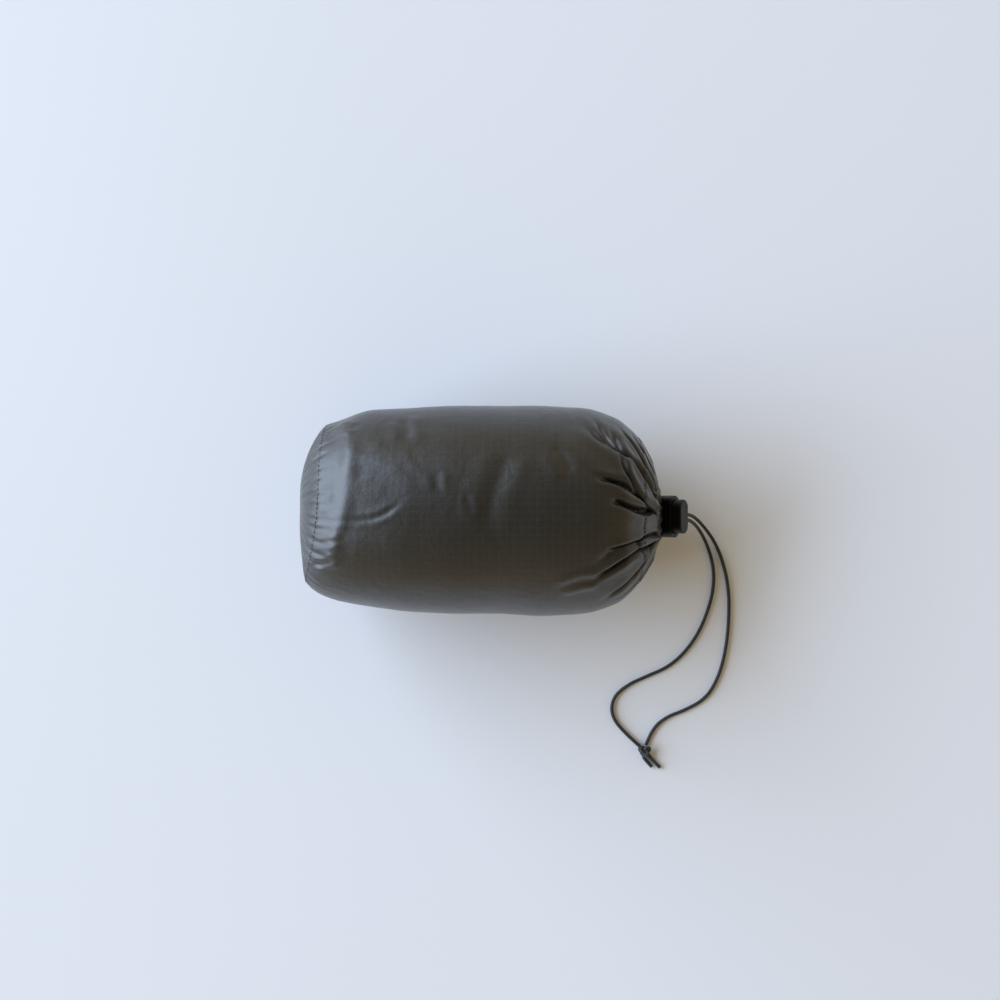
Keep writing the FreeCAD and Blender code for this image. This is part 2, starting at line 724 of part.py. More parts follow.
# ---------------------------------------------------------- footbox and hood


def cup_layer(label, outside, inside):
    """One layer of the footbox: a cup that opens towards the roll."""
    solids = []
    for depth, name in ((outside, "outside"), (inside, "inside")):
        solids.append(
            along_x(
                "Part::Cylinder", f"{label}_{name}", "0", "Sizes.foot_level",
                Radius=f"Sizes.foot_round - {depth}",
                Height=f"Sizes.foot_deep - {depth}" if name == "outside" else "Sizes.foot_deep",
                place=f"Sizes.foot_from + {depth}",
            )
        )
    deliver(boolean("Cut", label, solids[0], solids[1]), label)


def dome_layer(label, outside, inside):
    """One layer of the hood: a dome that opens towards the roll."""
    solids = [
        along_x(
            "Part::Sphere", f"{label}_{depth}", "0", "Sizes.hood_level",
            Radius=f"Sizes.hood_round - {depth}", place="Sizes.hood_centre_at",
        )
        for depth in (outside, inside)
    ]
    wall = boolean("Cut", f"{label}_wall", solids[0], solids[1])
    deliver(between(label, wall, "Sizes.hood_from", f"{BEYOND}"), label)


end_loft = size("end_loft")
for name, layer in (("footbox", cup_layer), ("hood", dome_layer)):
    layer(f"{name}_shell", 0, cloth)
    layer(f"{name}_down", cloth, cloth + end_loft)
    layer(f"{name}_liner", cloth + end_loft, 2 * cloth + end_loft)


def ring(label, major, minor, place, side="0", axis=ACROSS_X):
    torus = doc.addObject("Part::Torus", label)
    torus.Radius1 = major
    torus.Radius2 = minor
    torus.Placement = Placement(Vector(place, 0, size("hood_level")), axis)
    torus.setExpression(".Placement.Base.y", side)
    return torus


deliver(ring("collar", major=26.0, minor=3.2, place=79.5), "draft_collar")
deliver(ring("hood_cord", major=43.5, minor=1.2, place=76.6), "hood_drawcord")
loops = doc.addObject("Part::Compound", "foot_hang_loops")
loops.Links = [
    ring("left_hang_loop", major=3.0, minor=0.7, place=-126.4, side="14", axis=Rotation()),
    ring("right_hang_loop", major=3.0, minor=0.7, place=-126.4, side="-14", axis=Rotation()),
]
deliver(loops, "foot_hang_loops")

hood_lock_corner = Vector(size("hood_lock_from"), -6, size("hood_level") - 4.5)
hood_housing = block("hood_lock_block", hood_lock_corner, long=8, wide=12, tall=9)
hood_plunger = along_x(
    "Part::Cylinder", "hood_lock_stem", "0", "Sizes.hood_level",
    Radius="Sizes.hood_lock_stem_round", Height="Sizes.hood_lock_stem_long",
    place="Sizes.hood_lock_stem_from",
)
deliver(boolean("Cut", "hood_lock_housing", hood_housing, hood_plunger), "hood_cord_lock_housing")
deliver(hood_plunger, "hood_cord_lock_plunger")

# ------------------------------------------------------------ check and write
doc.recompute()
faults = [o.Name for o in doc.Objects if "Invalid" in o.State or "Error" in o.State]
faults += [p.Label for p in delivered if p.Shape.isNull() or not p.Shape.isValid()]
if faults:
    raise RuntimeError(f"failed objects: {faults}")
os.makedirs("parts", exist_ok=True)
whole = FreeCAD.BoundBox()
for piece in delivered:
    solids = len(piece.Shape.Solids)
    if not piece.Label.startswith(("drawcord_strand", "drawcord_tail", "drawcord_knot")):
        whole.add(piece.Shape.BoundBox)
    piece.Shape.exportStep(f"parts/{piece.Label}.step")
    print(f"{piece.Label}: {solids} solid(s), {piece.Shape.Volume / 1000:.2f} cm3")
print("without the free cord:", whole)
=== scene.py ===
# %% [markdown]
# # A mummy sleeping bag packed in its stuff sack
# The object is a full drawcord sack lying on its side.  The cloth is cut flat, rolled into a
# tube, closed with a round base panel, stuffed, and drawn shut with a cord and a spring lock.
# The lesson follows that order.  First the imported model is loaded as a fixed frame.

# %% Load the frame
import math

import bmesh
import bpy
import numpy as np
from mathutils import Matrix, Vector, noise
from mathutils.bvhtree import BVHTree


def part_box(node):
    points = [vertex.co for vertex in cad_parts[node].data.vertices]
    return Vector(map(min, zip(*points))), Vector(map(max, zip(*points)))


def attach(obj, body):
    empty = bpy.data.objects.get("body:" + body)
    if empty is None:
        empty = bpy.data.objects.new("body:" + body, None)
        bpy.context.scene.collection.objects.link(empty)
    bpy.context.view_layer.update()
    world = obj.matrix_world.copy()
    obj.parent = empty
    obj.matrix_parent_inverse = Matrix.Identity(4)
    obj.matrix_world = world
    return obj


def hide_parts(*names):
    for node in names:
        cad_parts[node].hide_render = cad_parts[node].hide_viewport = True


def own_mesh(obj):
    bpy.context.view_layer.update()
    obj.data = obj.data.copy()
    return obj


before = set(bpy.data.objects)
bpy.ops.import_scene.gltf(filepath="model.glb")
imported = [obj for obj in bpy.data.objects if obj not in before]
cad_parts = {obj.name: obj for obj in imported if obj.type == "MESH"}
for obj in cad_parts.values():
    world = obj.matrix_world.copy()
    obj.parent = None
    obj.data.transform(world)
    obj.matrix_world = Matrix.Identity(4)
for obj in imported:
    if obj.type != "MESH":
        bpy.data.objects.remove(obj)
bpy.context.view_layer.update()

MM = 0.001

# %% [markdown]
# ## The camera
# The sack is looked at from straight above, from about a metre, with its length level.

# %% Camera
def link(item):
    """Put an object in the scene."""
    bpy.context.scene.collection.objects.link(item)


CAMERA_HEIGHT = 1.026
CAMERA_CENTRE = (0.0045, 0.0076)
camera_data = bpy.data.cameras.new("camera")
camera_data.lens = 50
camera_data.sensor_width = 36
camera = bpy.data.objects.new("camera", camera_data)
camera.location = (*CAMERA_CENTRE, CAMERA_HEIGHT)
link(camera)
bpy.context.scene.camera = camera
print("camera", CAMERA_HEIGHT, "m above the table")

# %% [markdown]
# ## The drawcord
# Two strands leave the underside of the cord lock, fall to the table and lie in a loose loop
# to an overhand knot.  A cord is drawn as one smooth NURBS line through a few chosen points,
# then given its thickness as a tube whose UVs run in metres, so that the braid keeps its size.

# %% Helpers for round cords
CORD = 2.5 * MM


def deselect_all():
    bpy.ops.object.select_all(action="DESELECT")


def activate(*objects):
    """Select only these objects and make the first one active."""
    deselect_all()
    for item in objects:
        item.select_set(True)
    bpy.context.view_layer.objects.active = objects[0]


def mode(name):
    bpy.ops.object.mode_set(mode=name)


def nurbs_curve(name, points, thickness=0.0, sides=4):
    """A smooth open curve guided by its points, in metres."""
    curve = bpy.data.curves.new(name, "CURVE")
    curve.dimensions = "3D"
    spline = curve.splines.new("NURBS")
    spline.points.add(len(points) - 1)
    for place, point in zip(spline.points, points):
        place.co = (*point, 1)
    spline.order_u = 3
    spline.use_endpoint_u = True
    spline.resolution_u = 8
    curve.bevel_depth = thickness / 2
    curve.bevel_resolution = sides
    curve.use_fill_caps = thickness > 0
    item = bpy.data.objects.new(name, curve)
    link(item)
    return item


def line_of(points):
    """The places that the smooth curve passes through."""
    item = nurbs_curve("line", points)
    mesh = bpy.data.meshes.new_from_object(item)
    places = [v.co.copy() for v in mesh.vertices]
    bpy.data.meshes.remove(mesh)
    bpy.data.objects.remove(item)
    return places


def length_of(places):
    return sum((b - a).length for a, b in zip(places, places[1:]))


def cord_tube(name, points, thickness=CORD, sides=4):
    """A cord as a mesh tube with UVs in metres: U along it and V round it."""
    item = nurbs_curve(name, points, thickness, sides)
    activate(item)
    bpy.ops.object.convert(target="MESH")
    long = length_of(line_of(points))
    for corner in item.data.uv_layers.active.data:
        corner.uv = (corner.uv[0] * long, corner.uv[1] * math.pi * thickness)
    bpy.ops.object.shade_smooth_by_angle(angle=math.radians(50))
    return item


# %% [markdown]
# The outer strand lies further from the sack than the inner one.  The first two points of each
# run straight through the lock, and the rest settle on the table.

# %% The two strands
# Points in mm; one without a height lies on the table.
ON_TABLE = 1.35
OUTER_STRAND = [
    (123.776, -2.1, 55.037), (133.813, -2.1, 40.702), (143.8, -3.5, 24.5), (154.0, -12.0, 9.0),
    (163.5, -24.0), (170.0, -41.0), (173.4, -60.0), (173.4, -80.0),
    (171.5, -100.5), (166.5, -121.5), (157.0, -138.5), (141.0, -147.5),
    (127.0, -152.5), (116.5, -161.5), (112.0, -173.3),
]
INNER_STRAND = [
    (123.776, -5.5, 55.037), (133.469, -5.5, 41.193), (142.8, -7.5, 25.5), (151.0, -15.0, 10.0),
    (158.0, -27.0), (162.3, -42.5), (162.0, -58.5), (157.8, -74.5),
    (151.0, -90.5), (140.8, -105.0), (128.0, -116.0), (112.5, -122.5),
    (98.0, -129.0), (87.5, -138.5), (86.5, -152.0), (97.0, -165.0),
    (107.9, -174.4),
]


def metres(points):
    return [Vector((*point, ON_TABLE)[:3]) * MM for point in points]


strands = []
for number, route in ((1, metres(OUTER_STRAND)), (2, metres(INNER_STRAND))):
    strand = cord_tube(f"drawcord_strand_{number}_braid", route)
    strands.append((strand, route, line_of(route)))
    print(strand.name, "length", round(length_of(strands[-1][2]), 4), "m")

# %% [markdown]
# The two strands are tied together in an overhand knot.  Each cord turns round once and goes
# through its own loop, so the line of one cord is a trefoil that is left open at one side.  Two
# such lines lie side by side, and the cut ends stick out beyond the knot.

# %% Overhand knot and tails
KNOT_LOW, KNOT_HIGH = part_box("drawcord_knot")
KNOT_MIDDLE = (KNOT_LOW + KNOT_HIGH) / 2


def trefoil(turn, scale, lift):
    """A point on the open trefoil, seen from above, at a turn from 0 to 2 pi."""
    across = math.sin(turn) + 2 * math.sin(2 * turn)
    along = math.cos(turn) - 2 * math.cos(2 * turn)
    return Vector((across * scale, along * scale, -math.sin(3 * turn) * lift))


KNOT_POINTS = 19
KNOT_STARTS, KNOT_TURNS = 28, 304
PULLED_TIGHT = 0.94


def knot_cord(name, scale, raise_by, side):
    """One cord through the knot, squeezed a little thinner; sizes in mm."""
    route = []
    for step in range(KNOT_POINTS):
        turn = math.radians(KNOT_STARTS + step * KNOT_TURNS / (KNOT_POINTS - 1))
        place = trefoil(turn, scale * MM, 1.15 * MM)
        route.append(KNOT_MIDDLE + place + Vector((side, 0, raise_by)) * MM)
    return cord_tube(name, route, CORD * PULLED_TIGHT)


knot_parts = [
    knot_cord("knot_first_cord", 1.05, -0.5, -0.7),
    knot_cord("knot_second_cord", 1.25, 0.75, 0.7),
]
activate(*knot_parts)
bpy.ops.object.join()
knot = knot_parts[0]
knot.name = "overhand_knot"
FIRST_TAIL = [
    (109.8, -178.6, 2.6), (110.0, -181.6, 1.5), (112.4, -185.0), (116.4, -189.2),
]
SECOND_TAIL = [
    (112.4, -177.6, 2.8), (114.2, -180.8, 1.5), (117.2, -184.6), (122.4, -189.8),
]
tails = []
for number, route in ((1, FIRST_TAIL), (2, SECOND_TAIL)):
    tail = cord_tube(f"drawcord_tail_{number}_end", metres(route))
    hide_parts(f"drawcord_tail_{number}")
    tails.append(tail)
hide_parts("drawcord_knot")
for piece in (knot, *tails):
    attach(piece, "packed_sack")
for number, (strand, route, line) in enumerate(strands, 1):
    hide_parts(f"drawcord_strand_{number}")
    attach(strand, "packed_sack")
print("knot at", [round(c, 4) for c in KNOT_MIDDLE])

# %% [markdown]
# ## The sack's cloth
# The side panel is a rectangle of ripstop, rolled into a tube and sewn along the underside.
# So it starts as a flat grid, whose UVs are the cloth's own length and width in metres, and
# the grid is rolled round the stuffing.  The stuffed outline is read from the frame: rays go
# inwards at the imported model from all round, and the cloth is laid where they land.

# %% Read the stuffed outline
SKIN_NODES = ("sack_base_panel", "sack_side_panel", "sack_drawcord_channel")
SEAM_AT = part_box("sack_side_panel")[0].x
CHANNEL_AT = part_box("sack_drawcord_channel")[0].x - 1.5 * MM
MOUTH_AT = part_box("sack_drawcord_channel")[1].x
MOUTH_LOW, MOUTH_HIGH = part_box("sack_gathered_mouth")
MOUTH_SIDE = (MOUTH_LOW.y + MOUTH_HIGH.y) / 2
MOUTH_LEVEL = (MOUTH_LOW.z + MOUTH_HIGH.z) / 2
BODY_LEVEL = 62 * MM
NARROWS_AT = 60 * MM
ROUND = 216
ROWS = 146
PROFILE_STEPS = 240
WELL_OUTSIDE = 0.3

skin = bmesh.new()
for node_name in SKIN_NODES:
    skin.from_mesh(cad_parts[node_name].data)
SKIN_TREE = BVHTree.FromBMesh(skin)
skin.free()


def ease(value, start, end):
    """0 before start, 1 after end, and a smooth slope between."""
    share = np.clip((np.asarray(value, float) - start) / (end - start), 0, 1)
    return share * share * (3 - 2 * share)


def axis_at(place):
    """The middle of the cloth tube, which leans over to the drawn mouth."""
    lean = float(ease(place, NARROWS_AT, MOUTH_AT))
    return Vector((place, lean * MOUTH_SIDE, BODY_LEVEL + lean * (MOUTH_LEVEL - BODY_LEVEL)))


def radius_at(place, angle):
    """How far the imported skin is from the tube's middle; angle 0 is up, a quarter turn is +Y."""
    way = Vector((0, math.sin(angle), math.cos(angle)))
    start = axis_at(place)
    hit, *_ = SKIN_TREE.ray_cast(start + way * WELL_OUTSIDE, -way)
    return (hit - start).dot(way)


profile_x = np.linspace(SEAM_AT + 0.2 * MM, MOUTH_AT - 0.3 * MM, PROFILE_STEPS)
profile_r = np.array([radius_at(x, math.pi / 2) for x in profile_x])
steps = np.hypot(np.diff(profile_x), np.diff(profile_r))
profile_s = np.concatenate([[0], np.cumsum(steps)])
SIDE_LONG = profile_s[-1]
CLOSER_AT_MOUTH = 0.35
share = np.linspace(0, 1, ROWS + 1)
row_s = SIDE_LONG * ((1 + CLOSER_AT_MOUTH) * share - CLOSER_AT_MOUTH * share ** 2)
row_x = np.interp(row_s, profile_s, profile_x)
angles = np.linspace(-math.pi, math.pi, ROUND + 1)
reach = np.array([[radius_at(x, a) for a in angles[:-1]] for x in row_x])
CLOTH_WIDE = float(reach[ROWS // 2].mean() * 2 * math.pi)
print("side panel", round(SIDE_LONG, 3), "m long and", round(CLOTH_WIDE, 3), "m round")

# %% [markdown]
# A laid cloth has no sharp steps of its own, so the readings are averaged with their
# neighbours.  Past the lip the gathered cloth turns in and closes behind the cord lock.

# %% Lay the grid round the stuffing
THROAT = [
    (0.9, 20.6), (1.6, 19.2), (1.7, 18.0), (1.0, 17.3), (-0.4, 16.9), (-2.0, 16.7),
    (-3.8, 16.6), (-5.6, 16.4), (-7.2, 15.6), (-8.3, 13.4), (-8.9, 9.8), (-9.2, 5.2),
]
LAST_ROW = ROWS + len(THROAT)
FLOOR_GAP = 0.5 * MM
BOTTOM_SEAM = -127.0 * MM
TOP_SEAM = -117.0 * MM
SEAM_LEANS = (18 * MM, 66 * MM)
SEAM_SWINGS_AT = 12 * MM
SEAM_SWING = 3.7
SHIFT_FADES_AT = -62 * MM


def averaged(values, passes, axis):
    """Each reading is averaged with its neighbours along one way of the grid."""
    for _ in range(passes):
        if axis == 1:
            values = (np.roll(values, 1, 1) + 2 * values + np.roll(values, -1, 1)) / 4
        else:
            inner = (values[:-2] + 2 * values[1:-1] + values[2:]) / 4
            values = np.concatenate([values[:1], inner, values[-1:]])
    return values


reach = averaged(averaged(reach, 20, 0), 6, 1)
reach = np.concatenate([reach, reach[:, :1]], axis=1)
laid = np.zeros((LAST_ROW + 1, ROUND + 1, 3))
for row in range(LAST_ROW + 1):
    if row <= ROWS:
        middle, radii = axis_at(row_x[row]), reach[row]
    else:
        ahead, radius = THROAT[row - ROWS - 1]
        middle, radii = Vector((MOUTH_AT + ahead * MM, MOUTH_SIDE, MOUTH_LEVEL)), radius * MM
    laid[row, :, 0] = middle.x
    laid[row, :, 1] = middle.y + radii * np.sin(angles)
    laid[row, :, 2] = middle.z + radii * np.cos(angles)


def seam_shift(points):
    """The base seam leans: it is further along at the top, and swings back at the -Y side."""
    behind = np.minimum(points[..., 1] - SEAM_SWINGS_AT, 0)
    top = TOP_SEAM - SEAM_SWING * behind ** 2
    seam = BOTTOM_SEAM + (top - BOTTOM_SEAM) * ease(points[..., 2], *SEAM_LEANS)
    return (seam - SEAM_AT) * (1 - ease(points[..., 0], SEAM_AT, SHIFT_FADES_AT))


laid[..., 0] += seam_shift(laid)
laid[..., 2] = np.maximum(laid[..., 2], FLOOR_GAP)


def outward_of(surface):
    """Unit vectors out of a grid surface, from its two ways across."""
    along = np.gradient(surface, axis=0)
    inner = np.concatenate([surface[:, -2:-1], surface, surface[:, 1:2]], axis=1)
    across = (inner[:, 2:] - inner[:, :-2]) / 2
    out = np.cross(across, along)
    return out / np.maximum(np.linalg.norm(out, axis=2, keepdims=True), 1e-12)


outward = outward_of(laid)
facing = (outward[ROWS // 2, :, 1] * np.sin(angles) + outward[ROWS // 2, :, 2] * np.cos(angles))
outward *= np.sign(facing.mean())
print("grid of", laid.shape[:2], "points")

# %% [markdown]
# ## Folds in the cloth
# A flat rectangle can only close over a round end by folding.  Each fold is a valley that
# follows a line: it deepens towards the drawn mouth, and the cloth beside it stands up a
# little.  The lines are given as seen from above, in millimetres, and dropped on the cloth.

# %% Fold lines
# Each fold: line, depth, half-width, bank height, all in mm.
MOUTH_FOLDS = [
    ([(74, 8.6), (78.4, 7.0), (83.1, 5.7), (87.8, 3.7), (92.8, 1.4), (97.9, -0.6), (104.1, -1.7),
      (110.2, -2.2), (113.5, -2.6)], 6.2, 2.5, 1.1),
    ([(58, 26), (66.7, 22.8), (72.6, 21.2), (78.6, 20.0), (83.9, 18.0), (88.7, 15.1), (92.9, 11.5),
      (97.3, 7.9), (102.5, 3.6), (108.3, 0.2)], 5.4, 2.1, 1.0),
    ([(74, 43), (78.0, 39.1), (82.5, 34.5), (85.7, 29.2), (88.9, 23.3), (92.4, 17.4), (96.6, 11.5),
      (100.9, 6.9), (106.6, 2.3)], 3.0, 2.3, 1.5),
    ([(75.5, 58.5), (79.2, 53.6), (82.8, 48.8), (86.5, 42.6), (90.4, 36.0), (95.2, 30.8),
      (99.3, 24.8), (103.8, 17.6), (107.6, 9.6)], 4.6, 2.1, 1.1),
    ([(60, 68), (66.2, 63.3), (71.1, 56.9), (74.8, 51.4), (79.1, 45.2), (83.5, 39.9),
      (88.1, 35.2)], 2.6, 3.0, 0.8),
    ([(82.7, 58.8), (87.6, 53.2), (92.2, 47.1), (96.8, 39.7), (101.3, 31.0), (105.8, 22.4),
      (108.7, 14.3)], 3.6, 1.9, 0.9),
    ([(90.1, 57.2), (95.4, 51.0), (99.7, 43.4), (103.8, 35.3), (107.3, 27.2),
      (110.2, 18.4)], 3.2, 1.8, 0.8),
    ([(53, 70), (60.3, 57.4), (65.2, 51.8), (70.3, 47.1), (75.5, 43.1), (80, 40)], 1.6, 4.0, 0.6),
    ([(69, -25.2), (73.4, -24.2), (78.0, -23.3), (83.4, -21.7), (89.5, -19.9), (95.3, -18.1),
      (101.2, -16.6), (107.0, -15.2), (111, -14.4)], 4.4, 1.7, 0.9),
    ([(58, -40), (68.3, -32.1), (74.9, -28.9), (81.5, -25.7), (88.2, -23.1),
      (95.5, -21.4)], 2.4, 3.0, 0.7),
    ([(62, -48), (68.1, -44.2), (74.0, -40.3), (79.9, -37.0), (85.9, -33.4), (92.2, -29.3),
      (98.7, -25.9), (105.0, -23.2), (110, -20)], 5.0, 2.1, 1.1),
    ([(91, -50), (95.6, -42.7), (98.2, -37.9), (101.6, -32.6), (104.6, -28.0), (107.7, -23.4),
      (111, -19)], 4.2, 1.8, 0.9),
    ([(68, -64), (74.2, -59.4), (80.8, -55.3), (87.2, -50.4), (93.4, -43.9),
      (98.8, -36.6)], 2.2, 3.0, 0.6),
]
BODY_FOLDS = [
    ([(-114, -5.0), (-109.8, -6.1), (-103.6, -6.3), (-98.2, -5.4), (-91.4, -5.6), (-84.9, -5.3),
      (-77.6, -4.4), (-71.0, -2.1), (-65.1, 1.8), (-59.3, 6.3), (-55, 12)], 1.2, 1.5, 0.3),
    ([(-120, 3.7), (-117.4, 3.7), (-112.4, 3.0), (-108.3, 1.4), (-104.9, -0.9),
      (-99, -3.4)], 1.5, 1.5, 0.7),
    ([(-119, 7.4), (-113.2, 8.3), (-108.4, 9.6), (-104.0, 11.4)], 1.5, 1.3, 0.6),
    ([(-120, -9.5), (-116, -10.1), (-110.0, -11.6)], 1.1, 1.3, 0.5),
    ([(-119, -21.5), (-109.6, -20.3), (-104.0, -19.5), (-97.9, -19.0)], 1.0, 1.5, 0.5),
    ([(-122.6, -26.3), (-118.0, -28.2), (-113.6, -28.7), (-110.2, -30.0), (-105.9, -32.4)],
     0.9, 1.4, 0.3),
    ([(-125.7, -36.2), (-117.3, -35.2), (-111.3, -34.4), (-106.9, -33.0), (-101.3, -29.0)],
     1.3, 1.5, 0.6),
    ([(-119, 62.0), (-107.7, 58.3), (-102.9, 56.6), (-95.6, 56.3), (-88.1, 57.4)], 1.9, 2.2, 0.8),
    ([(-62, 62), (-58.5, 58), (-56.6, 52), (-56.5, 44)], 1.0, 3.2, 0.7),
    ([(-37.6, 26), (-36.2, 20), (-36.0, 12)], 0.35, 2.2, 0.25),
    ([(-17, 12), (-14.8, 5), (-13.6, -4)], 0.35, 2.0, 0.25),
    ([(12, 44), (4, 22), (-3, 4), (-2, -20)], 0.7, 5.0, 0.5),
    ([(38, 44), (45, 36.5), (48, 30), (53, 24.0)], 1.0, 4.0, 0.5),
    ([(40, -52), (53.7, -46.8), (63.5, -44.8), (72, -44.3)], 0.8, 2.5, 1.2),
]
SHOULDER = [(-101.5, 60), (-98.6, 53), (-96.0, 45), (-95.1, 37), (-95.3, 27.2), (-96.3, 16.1),
            (-97.5, 6), (-99.6, -6.7), (-102.4, -13.3), (-104.2, -21.9), (-105.5, -30.6)]
SHOULDER_HIGH, SHOULDER_WIDE = 1.7 * MM, 6 * MM
DIMPLE = (-82.0, 13.0)
DIMPLE_LONG, DIMPLE_WIDE, DIMPLE_DEEP = 25, 17, 1.0 * MM
print(len(MOUTH_FOLDS), "folds at the mouth and", len(BODY_FOLDS), "on the body")

# %% [markdown]
# One function presses any of these lines into the grid.  It drops the line on the cloth, finds
# each grid point's distance from it, and returns how far the point goes in or out.  The rest of
# the gathers, round the sides and under the sack, have lines along the cloth and come from a
# seeded list, so the sack is the same at every run.

# %% Press the folds in
places = laid.reshape(-1, 3)
top_side = places[:, 2] > 45 * MM


def dropped(line):
    """A line seen from above, in mm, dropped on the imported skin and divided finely."""
    spots = []
    for x, y in line:
        hit, *_ = SKIN_TREE.ray_cast(Vector((x, y, 300)) * MM, Vector((0, 0, -1)))
        if hit is not None:
            spots.append(hit)
    return np.array(line_of(spots))


def nearness(line):
    """Each grid point's distance from a line, its share of the line, and its way to it."""
    gaps = np.linalg.norm(places[:, None, :] - line[None, :, :], axis=2)
    nearest = gaps.argmin(axis=1)
    return gaps.min(axis=1), nearest / (len(line) - 1), line[nearest] - places


def valley(far, depth, width, bank):
    """The cross-section of a fold: a narrow valley between two low rounded banks."""
    hollow = -depth * np.exp(-(far / width) ** 1.35)
    raised = bank * np.exp(-((far - 2.3 * width) / (1.3 * width)) ** 2)
    return hollow + raised


PULLED_SHUT = 0.68
DEEPER, NARROWER, FULLER = 1.45 * MM, 0.8 * MM, 1.35 * MM
DEEP_FOLD = 3.5
moved = np.zeros(len(places))
sideways = np.zeros_like(places)
for line, depth, width, bank in MOUTH_FOLDS:
    far, share, to_line = nearness(dropped(line))
    grown = ease(share, 0, 0.32 if depth > DEEP_FOLD else 0.6)
    pull = PULLED_SHUT * np.exp(-(far / (2.2 * width * MM)) ** 2)
    sideways += to_line * pull[:, None] * (top_side * grown)[:, None]
    moved += top_side * grown * valley(far, DEEPER * depth, NARROWER * width, FULLER * bank)
for line, depth, width, bank in BODY_FOLDS:
    far, share, _ = nearness(dropped(line))
    shape = ease(share, 0, 0.2) * (1 - ease(share, 0.75, 1))
    moved += top_side * shape * valley(far, depth * MM, width * MM, bank * MM)
far, *_ = nearness(dropped(SHOULDER))
moved += top_side * SHOULDER_HIGH * np.exp(-(far / SHOULDER_WIDE) ** 2)
across = (places[:, 0] / MM - DIMPLE[0]) / DIMPLE_LONG
beside = (places[:, 1] / MM - DIMPLE[1]) / DIMPLE_WIDE
moved -= top_side * DIMPLE_DEEP * (1 - ease(np.hypot(across, beside), 0.5, 1.2))

dice = np.random.default_rng(7)
theta = np.broadcast_to(angles, laid.shape[:2]).ravel()
rows = np.repeat(np.arange(LAST_ROW + 1), ROUND + 1)
slope_at = np.interp(NARROWS_AT, row_x, np.arange(ROWS + 1))
girth = np.linalg.norm(laid[:, ROUND // 4] - laid[:, 3 * ROUND // 4], axis=1)[rows] / 2
hidden = np.deg2rad(np.concatenate([np.arange(74, 182, 13.5), np.arange(-178, -60, 13.0)]))
for turn in hidden:
    turn += dice.uniform(-0.05, 0.05)
    start = slope_at + dice.uniform(-8, 16)
    slant = dice.uniform(-0.25, 0.25)
    along = ease(rows, start, ROWS - 8)
    gap = (theta - turn - slant * (1 - along) + math.pi) % (2 * math.pi) - math.pi
    depth = dice.uniform(2.6, 4.6) * MM * along * (1 - 0.7 * ease(rows, ROWS - 3, ROWS + 5))
    width = dice.uniform(1.7, 2.6) * MM
    moved += valley(np.abs(gap) * girth, 1, width, 0.22) * depth
print("deepest fold", round(-moved.min() / MM, 1), "mm")

# %% [markdown]
# The hem itself is puckered by the drawcord, and the side panel is eased on to the base panel,
# so both seams have many short gathers.  Low rolling unevenness comes from the down inside.

# %% Gathers at the two seams and the unevenness of the stuffing
PUCKER_SPACING = 8.0 * MM
SEAM_RADIUS = 54 * MM
SEAM_GIRTH = 2 * math.pi * SEAM_RADIUS
HEM_GATHERS = 30
pucker_turns = []
turn = -math.pi
while turn < math.pi - 0.05:
    pucker_turns.append((turn, dice.uniform(0.35, 1.0), dice.uniform(3.0, 11.0) * MM))
    turn += dice.uniform(0.72, 1.3) * PUCKER_SPACING / SEAM_GIRTH * 2 * math.pi


def puckers(turns, radius, from_seam):
    """Short valleys that cross the base seam, deepest at the seam."""
    total = np.zeros(len(turns))
    for turn, strength, long in pucker_turns:
        gap = np.abs((turns - turn + math.pi) % (2 * math.pi) - math.pi) * radius
        total += valley(gap, 1.5 * MM, 1.3 * MM, 0.6 * MM) * strength * np.exp(-from_seam / long)
    return total


from_seam = np.interp(rows, np.arange(ROWS + 1), row_s)
moved += puckers(theta, girth, from_seam)
moved -= 0.7 * MM * np.exp(-from_seam / (1.2 * MM))
hem_s = np.interp(CHANNEL_AT, row_x, row_s)
moved -= 0.5 * MM * np.exp(-((from_seam - hem_s) / (1.6 * MM)) ** 2) * (rows <= ROWS)
hem_row = int(np.interp(CHANNEL_AT, row_x, np.arange(ROWS + 1)) + 0.5)
for turn in np.linspace(-math.pi, math.pi, HEM_GATHERS, endpoint=False):
    turn += dice.uniform(-0.07, 0.07)
    gap = np.abs((theta - turn + math.pi) % (2 * math.pi) - math.pi) * girth
    near_hem = ease(rows, hem_row - 4, ROWS) * (1 - ease(rows, ROWS + 2, ROWS + 6))
    moved += valley(gap, 1.0, 1.1 * MM, 0.4) * dice.uniform(0.5, 1.5) * MM * near_hem
on_body = 1 - ease(rows, hem_row - 6, hem_row + 4)


def rolling(points, size, away=(0, 0, 0)):
    """Smooth noise of a given size in mm, read at each point."""
    return np.array([noise.noise(Vector(p) / (size * MM) + Vector(away)) for p in points])


for size, height in ((80, 0.8), (30, 0.22), (12, 0.07)):
    moved += rolling(places, size, (3.1, 7.7, 1.9)) * height * MM * on_body
sharp = 1 - np.minimum(np.abs(rolling(places, 19)) / 0.12, 1)
patch = rolling(places, 55, (9, 2, 4))
CREASE_HIGH = 0.2 * MM
moved += CREASE_HIGH * sharp * ease(patch, -0.05, 0.35) * on_body
folded = laid + outward * moved.reshape(laid.shape[:2])[..., None]
folded += sideways.reshape(laid.shape)
folded[..., 2] = np.maximum(folded[..., 2], FLOOR_GAP)
folded[:, -1] = folded[:, 0]
print(len(pucker_turns), "puckers in the base seam")

# %% [markdown]
# Now the grid itself: a primitive with one face for each small square of cloth.  Its points
# take the places worked out above, and its UVs become metres of flat cloth.

